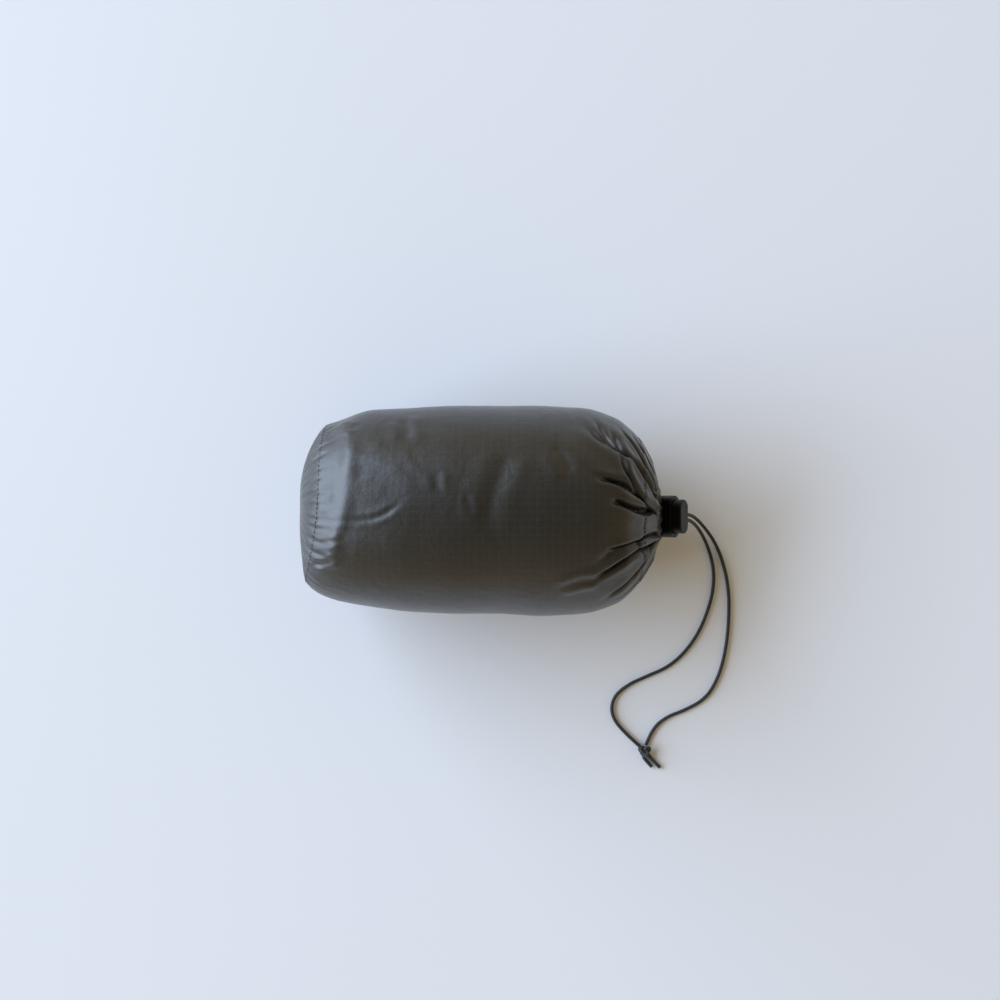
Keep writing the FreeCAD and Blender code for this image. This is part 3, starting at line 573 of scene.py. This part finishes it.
# %% Roll the side panel
deselect_all()
bpy.ops.mesh.primitive_grid_add(x_subdivisions=LAST_ROW, y_subdivisions=ROUND, size=2)
sack = bpy.context.object
sack.name = "sack_cloth"
flat = np.array([v.co for v in sack.data.vertices])
grid_row = np.rint((flat[:, 0] + 1) / 2 * LAST_ROW).astype(int)
grid_spoke = np.rint((flat[:, 1] + 1) / 2 * ROUND).astype(int)
sack.data.vertices.foreach_set("co", folded[grid_row, grid_spoke].ravel())
sack.data.attributes.new("row", "FLOAT", "POINT").data.foreach_set("value", grid_row.astype(float))
past_lip = row_s[-1] + (row_s[-1] - row_s[-2]) * np.arange(1, len(THROAT) + 1)
cloth_s = np.concatenate([row_s, past_lip])
CLOTH_LONG = cloth_s[-1]
for corner in sack.data.uv_layers.active.data:
    row = int(corner.uv[0] * LAST_ROW + 0.5)
    corner.uv = (cloth_s[row], corner.uv[1] * CLOTH_WIDE)
sack.data.update()
print("cloth cut", round(CLOTH_WIDE, 3), "x", round(CLOTH_LONG, 3), "m")

# %% [markdown]
# The base panel is a disc.  It starts as a filled circle that is inset ring by ring, and the
# rings are pushed out to the crown that the stuffing gives it.

# %% Base panel
BASE_RINGS = 16
CROWN_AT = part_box("sack_base_panel")[0].x
bpy.ops.mesh.primitive_circle_add(vertices=ROUND, radius=1, fill_type="NGON")
base = bpy.context.object
base.name = "base_cloth"
mode("EDIT")
bpy.ops.mesh.select_mode(type="FACE")
bpy.ops.mesh.select_all(action="SELECT")
for ring in range(BASE_RINGS - 1):
    bpy.ops.mesh.inset(thickness=1 / BASE_RINGS, depth=0)
bpy.ops.mesh.poke()
mode("OBJECT")
disc = np.array([v.co for v in base.data.vertices])
disc_turn = np.arctan2(disc[:, 0], disc[:, 1])
disc_ring = np.rint(np.hypot(disc[:, 0], disc[:, 1]) * BASE_RINGS).astype(int)
disc_spoke = np.rint((disc_turn + math.pi) / (2 * math.pi) * ROUND).astype(int) % ROUND
rim = folded[0, disc_spoke]
rim_middle = folded[0, :-1].mean(axis=0)
out_share = (disc_ring / BASE_RINGS)[:, None]
crowned = rim_middle + (rim - rim_middle) * out_share
dome = (1 - out_share[:, 0] ** 2.4) ** 0.85
crowned[:, 0] = rim[:, 0] + (CROWN_AT + 0.9 * MM - rim[:, 0]) * dome
inward = np.linalg.norm(rim - crowned, axis=1)
base_moved = puckers(angles[disc_spoke], SEAM_RADIUS * out_share[:, 0], inward)
base_moved += 0.5 * MM * rolling(crowned, 24, (5, 1, 8))
crowned[:, 0] -= base_moved * ease(1 - out_share[:, 0], 0, 0.08)
crowned[disc_ring == BASE_RINGS] = rim[disc_ring == BASE_RINGS]
base.data.vertices.foreach_set("co", crowned.ravel())
ring_row = (disc_ring - BASE_RINGS).astype(float)
base.data.attributes.new("row", "FLOAT", "POINT").data.foreach_set("value", ring_row)
base_uv = base.data.uv_layers.active or base.data.uv_layers.new(name="UVMap")
for loop in base.data.loops:
    base_uv.data[loop.index].uv = (crowned[loop.vertex_index][2], crowned[loop.vertex_index][1])
base.data.update()
print("base panel", 2 * BASE_RINGS, "rings across, crown at", round(CROWN_AT, 4))

# %% [markdown]
# ## Sew and stuff
# The panels are joined, and points that share a place are merged: that is the side seam and the
# base seam.  Then Cloth with pressure inside takes the place of the down.  The seams, the mouth
# and the part that rests on the table are pinned, and no point may move more than a few
# millimetres, so the sack keeps its size while its folds settle and its panels fill.

# %% Sew the panels together
base.data.uv_layers.active.name = "UVMap"
sack.data.uv_layers.active.name = "UVMap"
activate(sack, base)
bpy.ops.object.join()
mode("EDIT")
bpy.ops.mesh.select_all(action="SELECT")
bpy.ops.mesh.remove_doubles(threshold=0.02 * MM)
bpy.ops.mesh.select_mode(type="VERT")
bpy.ops.mesh.select_all(action="DESELECT")
mode("OBJECT")


def row_of(mesh):
    """Each point's row on the cloth: below 0 on the base panel."""
    values = np.zeros(len(mesh.vertices), np.float32)
    mesh.attributes["row"].data.foreach_get("value", values)
    return values


def places_of(mesh):
    values = np.zeros(len(mesh.vertices) * 3)
    mesh.vertices.foreach_get("co", values)
    return values.reshape(-1, 3)


for point, row in zip(sack.data.vertices, row_of(sack.data)):
    point.select = bool(row >= LAST_ROW - 0.5)
mode("EDIT")
bpy.ops.mesh.merge(type="CENTER")
bpy.ops.mesh.select_all(action="SELECT")
bpy.ops.mesh.normals_make_consistent(inside=False)
mode("OBJECT")
open_edges = sum(1 for count in np.bincount([
    sack.data.loops[i].edge_index for p in sack.data.polygons for i in p.loop_indices
]) if count == 1)
print("sewn sack:", len(sack.data.vertices), "points,", open_edges, "open edges")

# %% Stuff it
NYLON = {
    "quality": 5, "mass": 0.15, "tension_stiffness": 25, "compression_stiffness": 25,
    "shear_stiffness": 10, "bending_stiffness": 0.05, "vertex_group_mass": "held",
    "use_pressure": True, "uniform_pressure_force": 0.8,
}
FRAMES = 14
MOST_MOVE = 3.5 * MM
LESS_AT_MOUTH = 0.75
RESTS_BELOW = 1.5 * MM
before = places_of(sack.data)
cloth_rows = row_of(sack.data)
pinned = (np.abs(cloth_rows) < 0.5) | (cloth_rows > ROWS - 1) | (before[:, 2] < RESTS_BELOW)
group = sack.vertex_groups.new(name="held")
group.add([int(i) for i in np.nonzero(pinned)[0]], 1.0, "REPLACE")
activate(sack)
stuffing = sack.modifiers.new("stuffing", "CLOTH")
for setting, value in NYLON.items():
    setattr(stuffing.settings, setting, value)
stuffing.settings.effector_weights.gravity = 0
stuffing.point_cache.frame_end = FRAMES
for step in range(1, FRAMES + 1):
    bpy.context.scene.frame_set(step)
bpy.ops.object.modifier_apply(modifier="stuffing")
bpy.context.scene.frame_set(1)
step = places_of(sack.data) - before
far = np.linalg.norm(step, axis=1)
most = MOST_MOVE * (1 - LESS_AT_MOUTH * ease(cloth_rows, slope_at, ROWS - 24))
allowed = np.minimum(1, most / np.maximum(far, 1e-9))
settled = before + step * allowed[:, None]
settled[:, 2] = np.maximum(settled[:, 2], FLOOR_GAP)
sack.data.vertices.foreach_set("co", settled.ravel())
sack.data.update()
print("cloth moved", round(far.mean() / MM, 2), "mm on average")

# %% [markdown]
# The sewn sack is parted again along its seams, so that each panel is its own piece.

# %% Part the panels
def part_off(whole, name, first, last):
    """The faces whose points lie between two rows become a piece of their own."""
    rows_here = row_of(whole.data)
    activate(whole)
    mode("EDIT")
    bpy.ops.mesh.select_mode(type="FACE")
    bpy.ops.mesh.select_all(action="DESELECT")
    mode("OBJECT")
    for face in whole.data.polygons:
        row = rows_here[list(face.vertices)]
        face.select = bool(row.min() >= first - 0.5 and row.max() <= last + 0.5)
    mode("EDIT")
    bpy.ops.mesh.separate(type="SELECTED")
    mode("OBJECT")
    piece = next(o for o in bpy.context.selected_objects if o is not whole)
    piece.name = name
    return piece


base_panel = part_off(sack, "base_panel", -BASE_RINGS, 0)
channel = part_off(sack, "drawcord_hem", hem_row, LAST_ROW)
side_panel = sack
side_panel.name = "side_panel"
for piece in (base_panel, channel, side_panel):
    activate(piece)
    piece.vertex_groups.clear()
    smoother = piece.modifiers.new("finer", "SUBSURF")
    smoother.levels = smoother.render_levels = 1
    bpy.ops.object.modifier_apply(modifier="finer")
    bpy.ops.object.shade_smooth()
    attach(piece, "packed_sack")
    print(piece.name, len(piece.data.polygons), "faces")
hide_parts("sack_base_panel")
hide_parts("sack_side_panel", "sack_side_seam")
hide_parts("sack_drawcord_channel", "sack_gathered_mouth")

# %% [markdown]
# The part of the drawcord inside the hem follows the gathers, so it is laid a little under the
# drawn cloth all the way round.  The foot of the bag leans with the base seam.

# %% Cord in the hem and the foot of the bag
HEM_CORD_AT = 109.0 * MM
HEM_CORD_NEAREST = 19 * MM
HEM_CORD_FURTHEST = 24 * MM
HEM_CORD_UNDER = 3.0 * MM
drawn = bmesh.new()
for piece in (side_panel, channel):
    drawn.from_mesh(piece.data)
DRAWN_TREE = BVHTree.FromBMesh(drawn)
drawn.free()
hem_middle = Vector((HEM_CORD_AT, MOUTH_SIDE, MOUTH_LEVEL))
hem_route = []
for turn in np.linspace(0, 2 * math.pi, 41):
    rooms = [HEM_CORD_FURTHEST]
    for lean in np.linspace(-0.09, 0.09, 5):
        way = Vector((0, math.sin(turn + lean), math.cos(turn + lean)))
        hit, *_ = DRAWN_TREE.ray_cast(hem_middle + way * HEM_CORD_NEAREST, way)
        if hit:
            rooms.append((hit - hem_middle).length - HEM_CORD_UNDER)
    way = Vector((0, math.sin(turn), math.cos(turn)))
    hem_route.append(hem_middle + way * max(min(rooms), HEM_CORD_NEAREST))
hem_cord = cord_tube("cord_in_hem", hem_route)
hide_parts("drawcord_channel_run")
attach(hem_cord, "packed_sack")
FOOT_LEANS = 1.15
FOOT_KEEPS_OFF = 0.6 * MM


def leaned_copy(node_name):
    """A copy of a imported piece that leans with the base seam."""
    deselect_all()
    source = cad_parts[node_name]
    copy = bpy.data.objects.new(f"{node_name}_packed", source.data.copy())
    link(copy)
    activate(copy)
    mode("EDIT")
    bpy.ops.mesh.select_all(action="SELECT")
    bpy.ops.mesh.remove_doubles(threshold=0.001 * MM)
    mode("OBJECT")
    spots = places_of(copy.data)
    spots[:, 0] += seam_shift(spots) * FOOT_LEANS + FOOT_KEEPS_OFF
    copy.data.vertices.foreach_set("co", spots.ravel())
    copy.data.update()
    bpy.ops.object.shade_smooth_by_angle(angle=math.radians(40))
    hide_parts(node_name)
    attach(copy, "packed_sack")
    return copy


FOOT_SLOTS = {
    "footbox_shell": "bag_shell", "footbox_down": "down_fill", "footbox_liner": "bag_liner",
}
foot_pieces = {}
for node_name, slot_name in FOOT_SLOTS.items():
    foot_pieces[slot_name] = leaned_copy(node_name)
print("cord in the hem", round(length_of(line_of(hem_route)), 3), "m round")

# %% [markdown]
# ## Stitches
# The seams are sewn with dark thread.  One lockstitch is modelled, a short round-ended bead,
# and copied along each seam.  Every copy sinks a little into the cloth, as a tight stitch does.

# %% One stitch, copied along a seam
STITCH_LONG = 2.3 * MM
STITCH_THICK = 0.6 * MM


def ring_places(piece, row):
    """The points of one row of a panel, in order round the sack."""
    rows_here = row_of(piece.data)
    spots = places_of(piece.data)[np.abs(rows_here - row) < 0.1]
    middle = spots.mean(axis=0)
    turns = np.arctan2(spots[:, 1] - middle[1], spots[:, 2] - middle[2])
    return spots[np.argsort(turns)]


def sew(name, piece, row, pitch, node_name):
    """Stitches along one row of a panel, as one piece of thread."""
    ring = ring_places(piece, row)
    ring = np.concatenate([ring, ring[:1]])
    run = np.concatenate([[0], np.cumsum(np.linalg.norm(np.diff(ring, axis=0), axis=1))])
    surface = BVHTree.FromObject(piece, bpy.context.evaluated_depsgraph_get())
    deselect_all()
    bpy.ops.mesh.primitive_uv_sphere_add(segments=6, ring_count=5, radius=0.5)
    stitch = bpy.context.object
    shapes = []
    for at in np.arange(pitch / 2, run[-1], pitch):
        spot, ahead = (
            Vector([np.interp(at + way, run, ring[:, k]) for k in range(3)])
            for way in (0, STITCH_LONG / 2)
        )
        near, out, *_ = surface.find_nearest(spot)
        along = (ahead - spot).normalized()
        along = (along - out * along.dot(out)).normalized()
        turn = Matrix((along, out.cross(along), out)).transposed()
        size = Matrix.Diagonal((STITCH_LONG, STITCH_THICK, STITCH_THICK * 0.8))
        place = (turn @ size).to_4x4()
        place.translation = near + out * 0.12 * MM
        copy = stitch.copy()
        copy.data = stitch.data.copy()
        copy.data.transform(place)
        link(copy)
        shapes.append(copy)
    bpy.data.objects.remove(stitch)
    activate(*shapes)
    bpy.ops.object.join()
    thread = shapes[0]
    thread.name = name
    bpy.ops.object.shade_smooth()
    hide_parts(node_name)
    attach(thread, "packed_sack")
    print(name, "has", len(shapes), "stitches")
    return thread


base_thread = sew("base_seam_thread", side_panel, 0.5, 3.3 * MM, "sack_base_seam_stitching")
hem_thread = sew("hem_thread", channel, hem_row + 0.5, 3.0 * MM, "sack_channel_stitching")

# %% [markdown]
# ## The spring in the cord lock
# A steel compression spring pushes the plunger out, and flattens when the plunger is pressed in.
# Here a ring of wire is screwed round an axis by the Screw modifier, at one length, and turned on
# to the lock's own axis.

# %% Spring
LOCK_AXIS = Vector((0.819152, 0.0, 0.573576))
LOCK_MIDDLE = Vector((118.9, -3.8, 62.0)) * MM
WIRE = 0.45 * MM
COIL = 2.55 * MM
TURNS = 3
SPRING_LOW = -7.7 * MM
SPRING_HIGH = -3.75 * MM
deselect_all()
bpy.ops.mesh.primitive_circle_add(vertices=12, radius=WIRE / 2)
spring = bpy.context.object
spring.name = "compression_spring"
spring.data.transform(Matrix.Translation((COIL, 0, 0)) @ Matrix.Rotation(math.pi / 2, 4, "X"))
screw = spring.modifiers.new("coil", "SCREW")
screw.screw_offset = (SPRING_HIGH - SPRING_LOW) / TURNS
screw.iterations = TURNS
screw.steps = screw.render_steps = 36
bpy.ops.object.modifier_apply(modifier="coil")
mode("EDIT")
bpy.ops.mesh.select_all(action="SELECT")
bpy.ops.mesh.fill_holes(sides=12)
bpy.ops.mesh.normals_make_consistent(inside=False)
mode("OBJECT")
across = Vector((0, 1, 0)).cross(LOCK_AXIS)
lock_turn = Matrix((across, Vector((0, 1, 0)), LOCK_AXIS)).transposed().to_4x4()
lock_place = Matrix.Translation(LOCK_MIDDLE) @ lock_turn
spring.data.transform(lock_place @ Matrix.Translation((0, 0, SPRING_LOW)))
bpy.ops.object.shade_smooth()
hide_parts("cord_lock_spring")
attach(spring, "cord_lock")
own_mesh(spring)

# %% [markdown]
# ## Materials
# Each finish is a small tree of nodes.  One function adds a node with its settings and its
# links, and another turns a hex colour, which is how a screen shows it, into linear light.

# %% Helpers for materials
def linear(hex_colour):
    """A screen colour such as '3a3b38' as linear red, green, blue and alpha."""
    values = [int(hex_colour[k:k + 2], 16) / 255 for k in (0, 2, 4)]
    light = [v / 12.92 if v <= 0.04045 else ((v + 0.055) / 1.055) ** 2.4 for v in values]
    return (*light, 1)


def add(tree, kind, sockets=(), **settings):
    """Add a node: sockets maps an input to a value, or to (node, output) for a link."""
    made = tree.nodes.new("ShaderNode" + kind)
    for name, value in settings.items():
        setattr(made, name, value)
    for socket, value in dict(sockets).items():
        if isinstance(value, tuple) and isinstance(value[0], bpy.types.Node):
            tree.links.new(value[0].outputs[value[1]], made.inputs[socket])
        else:
            made.inputs[socket].default_value = value
    return made


def tones(tree, chooser, dark, light):
    """A colour between two hex colours, chosen by a (node, output)."""
    return add(tree, "Mix", {0: chooser, 6: linear(dark), 7: linear(light)}, data_type="RGBA")


def speckle(tree, scale, detail, roughness=0.5):
    """Noise read at the place of the surface."""
    return add(tree, "TexNoise", {
        "Vector": (add(tree, "TexCoord"), "Object"),
        "Scale": scale, "Detail": detail, "Roughness": roughness,
    })


def relief(tree, height, strength, distance, **under):
    """A bump from a (node, output)."""
    return add(tree, "Bump", {
        "Height": height, "Strength": strength, "Distance": distance, **under,
    })


def new_material(name):
    """An empty material with its output node; returns the material and its tree."""
    material = bpy.data.materials.new(name)
    material.use_nodes = True
    material.node_tree.nodes.clear()
    return material, material.node_tree


def finish_surface(tree, sockets):
    """The surface shader with its sockets, linked to the output."""
    surface = add(tree, "BsdfPrincipled", sockets)
    add(tree, "OutputMaterial", {"Surface": (surface, "BSDF")})
    return surface


print("dark cloth in linear light", [round(v, 3) for v in linear("3b3a35")])

# %% [markdown]
# **Silicone-coated ripstop nylon.**  A plain weave of fine nylon with a thicker thread every
# 5 mm both ways, coated with silicone.  The coating gives a broad satin gloss and the ripstop
# threads stand up as a faint grid.  The weave itself, about ten threads to the millimetre, is
# too fine to show, so it is drawn with one thread every 0.7 mm.

# %% Ripstop cloth
RIPSTOP = 5.0 * MM
WEAVE = 0.7 * MM
THICK_THREAD = 40.0
GRID_SHOWS = 0.22
cloth, tree = new_material("silicone_coated_ripstop_nylon")
cloth_uv = add(tree, "UVMap", uv_map="UVMap")
parted = add(tree, "SeparateXYZ", {0: (cloth_uv, 0)})


def thread_lines(tree, source, axis, pitch, sharpness):
    """1 on the threads that run one way and 0 between them."""
    turns = add(tree, "Math", {0: (source, axis), 1: 2 * math.pi / pitch}, operation="MULTIPLY")
    wave = add(tree, "Math", {0: (turns, 0)}, operation="COSINE")
    lifted = add(tree, "Math", {0: (wave, 0), 1: 0.5, 2: 0.5}, operation="MULTIPLY_ADD")
    return add(tree, "Math", {0: (lifted, 0), 1: sharpness}, operation="POWER")


grid_lines = add(tree, "Math", {
    0: (thread_lines(tree, parted, 0, RIPSTOP, THICK_THREAD), 0),
    1: (thread_lines(tree, parted, 1, RIPSTOP, THICK_THREAD), 0),
}, operation="MAXIMUM")
weave = add(tree, "Math", {
    0: (thread_lines(tree, parted, 0, WEAVE, 1.0), 0),
    1: (thread_lines(tree, parted, 1, WEAVE, 1.0), 0),
}, operation="MULTIPLY")
place = add(tree, "TexCoord")
scuffs = speckle(tree, 140.0, 4.0, 0.6)
body_colour = tones(tree, (speckle(tree, 22.0, 3.0, 0.55), "Fac"), "171510", "201e18")
grid_share = add(tree, "Math", {0: (grid_lines, 0), 1: GRID_SHOWS}, operation="MULTIPLY")
cloth_colour = add(tree, "Mix", {
    0: (grid_share, 0), 6: (body_colour, 2), 7: linear("3d3b35"),
}, data_type="RGBA")
gloss = add(tree, "MapRange", {0: (scuffs, "Fac"), 3: 0.38, 4: 0.50})
heights = add(tree, "Math", {0: (grid_lines, 0), 1: (weave, 0)}, operation="ADD")
fine_bump = relief(tree, (heights, 0), 0.07, 0.0003)
creases = add(tree, "TexVoronoi", {"Vector": (place, "Object"), "Scale": 48.0},
              feature="DISTANCE_TO_EDGE")
crease_edge = add(tree, "MapRange", {0: (creases, "Distance"), 1: 0.0, 2: 0.12, 3: 0.0, 4: 1.0},
                  interpolation_type="SMOOTHSTEP")
crease_bump = relief(tree, (crease_edge, 0), 0.04, 0.0015, Normal=(fine_bump, 0))
wrinkle_bump = relief(tree, (scuffs, "Fac"), 0.27, 0.002, Normal=(crease_bump, 0))
finish_surface(tree, {
    "Base Color": (cloth_colour, 2), "Roughness": (gloss, 0), "IOR": 1.45,
    "Coat Weight": 0.8, "Coat Roughness": 0.41, "Coat IOR": 1.42, "Normal": (wrinkle_bump, 0),
})
print("ripstop threads every", RIPSTOP / MM, "mm")

# %% [markdown]
# **Bonded polyester thread** is black, hard and slightly shiny, with a twist along it.
# **Braided nylon cord** has a sheath of sixteen strands that cross on the slant, each about
# 0.6 mm wide; the same strands show on the cord in the hem.

# %% Thread and cord
thread_black, tree = new_material("bonded_polyester_thread")
twist = (speckle(tree, 2600.0, 1.0), "Fac")
thread_tone = tones(tree, twist, "0f0f10", "26262a")
twist_bump = relief(tree, twist, 0.3, 0.0001)
finish_surface(tree, {"Base Color": (thread_tone, 2), "Roughness": 0.5, "IOR": 1.5,
                      "Normal": (twist_bump, 0)})

STRAND_PITCH = 1.3 * MM


def cord_material(name, coordinate):
    """Braided cord, with its strands along the cord's own UVs or across the place it is at."""
    material, tree = new_material(name)
    source = (add(tree, "TexCoord"), "Object")
    if coordinate == "UV":
        source = (add(tree, "UVMap", uv_map="UVMap"), 0)
    parted = add(tree, "SeparateXYZ", {0: source})
    left = add(tree, "Math", {0: (parted, 0), 1: (parted, 1)}, operation="ADD")
    right = add(tree, "Math", {0: (parted, 0), 1: (parted, 1)}, operation="SUBTRACT")
    strands = add(tree, "Math", {
        0: (thread_lines(tree, left, 0, STRAND_PITCH, 1.0), 0),
        1: (thread_lines(tree, right, 0, STRAND_PITCH, 1.0), 0),
    }, operation="MAXIMUM")
    fuzz = add(tree, "TexNoise", {"Vector": source, "Scale": 900.0, "Detail": 2.0})
    tone = tones(tree, (strands, 0), "0d0d0e", "2b2b2d")
    worn = add(tree, "Mix", {0: (fuzz, "Fac"), 6: (tone, 2), 7: linear("1f1f21")},
               data_type="RGBA")
    braid_bump = relief(tree, (strands, 0), 0.6, 0.0003)
    finish_surface(tree, {"Base Color": (worn, 2), "Roughness": 0.62, "IOR": 1.53,
                          "Sheen Weight": 0.2, "Sheen Roughness": 0.4, "Normal": (braid_bump, 0)})
    return material


braid = cord_material("braided_nylon_cord", "UV")
hidden_braid = cord_material("braided_nylon_cord_in_hem", "Object")
print("strands cross every", STRAND_PITCH / MM, "mm")

# %% [markdown]
# **Moulded acetal** is the black plastic of the cord lock.  A spark-eroded mould leaves a fine
# grain, about 0.1 mm; it is drawn at 0.3 mm so that it shows.  Handling polishes it in places.
# **Spring steel** is drawn wire with a grey, slightly brushed surface.

# %% Cord lock materials
def moulded_plastic(name, dark, light, grain):
    """A moulded plastic with a fine grain and patches polished by handling."""
    material, tree = new_material(name)
    patches = (speckle(tree, 120.0, 3.0), "Fac")
    tone = tones(tree, patches, dark, light)
    gloss = add(tree, "MapRange", {0: patches, 3: 0.28, 4: 0.44})
    bump = relief(tree, (speckle(tree, 1 / grain, 2.0), "Fac"), 0.15, 0.0001)
    finish_surface(tree, {"Base Color": (tone, 2), "Roughness": (gloss, 0), "IOR": 1.36,
                          "Normal": (bump, 0)})
    return material


acetal = moulded_plastic("moulded_black_acetal", "070707", "0e0e0f", 0.3 * MM)
hood_plastic = moulded_plastic("moulded_grey_nylon", "2a2b2d", "3a3b3e", 0.3 * MM)
spring_steel, tree = new_material("drawn_spring_steel")
drawn = (speckle(tree, 1500.0, 3.0), "Fac")
steel_tone = tones(tree, drawn, "8f9194", "b9bbbe")
steel_gloss = add(tree, "MapRange", {0: drawn, 3: 0.22, 4: 0.38})
finish_surface(tree, {"Base Color": (steel_tone, 2), "Metallic": 1.0,
                      "Roughness": (steel_gloss, 0)})
print("lock materials:", acetal.name, spring_steel.name)

# %% [markdown]
# **Inside the sack** are the sleeping bag's own materials: a downproof nylon taffeta shell and
# liner, white goose down, a fine nylon mesh for the baffles, a nylon coil zip, and nylon tape.
# They can't be seen while the bag is packed, but each still has its own finish.

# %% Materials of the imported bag
def woven(name, dark, light, pitch, rough, sheen):
    """A plain woven cloth; threads are read across the place the cloth is at."""
    material, tree = new_material(name)
    place = add(tree, "TexCoord")
    parted = add(tree, "SeparateXYZ", {0: (place, "Object")})
    slanted = add(tree, "Math", {0: (parted, 1), 1: (parted, 2)}, operation="ADD")
    threads = add(tree, "Math", {
        0: (thread_lines(tree, parted, 0, pitch, 1.0), 0),
        1: (thread_lines(tree, slanted, 0, pitch, 1.0), 0),
    }, operation="MULTIPLY")
    tone = tones(tree, (threads, 0), dark, light)
    bump = relief(tree, (threads, 0), 0.25, 0.0003)
    finish_surface(tree, {"Base Color": (tone, 2), "Roughness": rough, "IOR": 1.53,
                          "Sheen Weight": sheen, "Sheen Roughness": 0.4, "Normal": (bump, 0)})
    return material


down, tree = new_material("goose_down_clusters")
place = add(tree, "TexCoord")
tufts = add(tree, "TexVoronoi", {"Vector": (place, "Object"), "Scale": 90.0})
down_tone = tones(tree, (tufts, "Distance"), "f2f0ea", "d6d3ca")
down_bump = relief(tree, (tufts, "Distance"), 0.6, 0.003)
finish_surface(tree, {"Base Color": (down_tone, 2), "Roughness": 0.95, "IOR": 1.4,
                      "Sheen Weight": 0.6, "Sheen Roughness": 0.6, "Normal": (down_bump, 0)})

SLOT_MATERIALS = {
    "sack_ripstop": cloth,
    "sack_thread": thread_black,
    "drawcord": hidden_braid,
    "lock_plastic": acetal,
    "spring_steel": spring_steel,
    "bag_shell": woven("downproof_taffeta_shell", "3a4a3c", "4c5f4e", 0.5 * MM, 0.45, 0.2),
    "bag_liner": woven("downproof_taffeta_liner", "2c2e33", "3c3f45", 0.5 * MM, 0.5, 0.2),
    "down_fill": down,
    "baffle_mesh": woven("nylon_baffle_mesh", "c9c9c4", "ecece8", 1.2 * MM, 0.7, 0.1),
    "zipper_nylon": woven("nylon_coil_zip", "17181a", "2a2b2e", 1.0 * MM, 0.4, 0.0),
    "bag_trim": woven("nylon_grosgrain_tape", "232427", "36383c", 0.9 * MM, 0.6, 0.2),
    "hood_lock_plastic": hood_plastic,
}
for node_name, node_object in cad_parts.items():
    slot_name = node_object.material_slots[0].material.name.split(".")[0]
    node_object.material_slots[0].material = SLOT_MATERIALS[slot_name]
print(len(SLOT_MATERIALS), "finishes on", len(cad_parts), "nodes")

# %% Finishes on the new pieces
def dress(piece, material):
    """Give a piece this one material."""
    piece.data.materials.clear()
    piece.data.materials.append(material)


for piece in (base_panel, side_panel, channel):
    dress(piece, cloth)
for piece in (base_thread, hem_thread):
    dress(piece, thread_black)
for piece in (knot, *tails, *[strand for strand, _, _ in strands]):
    dress(piece, braid)
dress(spring, spring_steel)
dress(hem_cord, hidden_braid)
for slot_name, piece in foot_pieces.items():
    dress(piece, SLOT_MATERIALS[slot_name])
print("all pieces dressed")

# %% [markdown]
# ## The table and the light
# The sack lies on a pale table beside a large window.  The window is one wide soft light low
# on the left, and the air of the room answers it with a weaker, warmer light all round.

# %% Table
bpy.ops.mesh.primitive_plane_add(size=6, location=(0, 0, -0.0002))
table = bpy.context.object
table.name = "table_top"
table_white, tree = new_material("painted_white_table")
paint_tone = tones(tree, (speckle(tree, 1.3, 2.0), "Fac"), "e4e6ea", "eceef1")
finish_surface(tree, {"Base Color": (paint_tone, 2), "Roughness": 0.55, "IOR": 1.45})
dress(table, table_white)


# %% Lights
def area_light(name, place, target, wide, tall, power, colour):
    """An oblong soft light that faces a target."""
    light = bpy.data.lights.new(name, "AREA")
    light.shape = "RECTANGLE"
    light.size = wide
    light.size_y = tall
    light.energy = power
    light.color = linear(colour)[:3]
    item = bpy.data.objects.new(name, light)
    item.location = place
    item.rotation_euler = (Vector(target) - Vector(place)).to_track_quat("-Z", "Y").to_euler()
    link(item)
    return item


area_light("window", (-7.7, 2.4, 3.4), (0, 0, 0.05), 14, 7.4, 2400, "cde2ff")
world = bpy.data.worlds.new("room_air")
world.use_nodes = True
tree = world.node_tree
tree.nodes.clear()
direction = add(tree, "TexCoord")
parted = add(tree, "SeparateXYZ", {0: (direction, "Generated")})
room_tone = add(tree, "Mix", {
    0: (parted, 2), 6: (0.76, 0.60, 0.37, 1), 7: (0.18, 0.15, 0.10, 1),
}, data_type="RGBA")
air = add(tree, "Background", {"Color": (room_tone, 2), "Strength": 1.0})
add(tree, "OutputWorld", {"Surface": (air, 0)})
bpy.context.scene.world = world
bpy.context.scene.view_settings.view_transform = "Standard"
print("lights set")

# %% [markdown]
# ## Finish
# The sack keeps the imported model's size; at the end nothing is left selected. The
# visual model must keep the imported model's size.

# %% Finish
deselect_all()
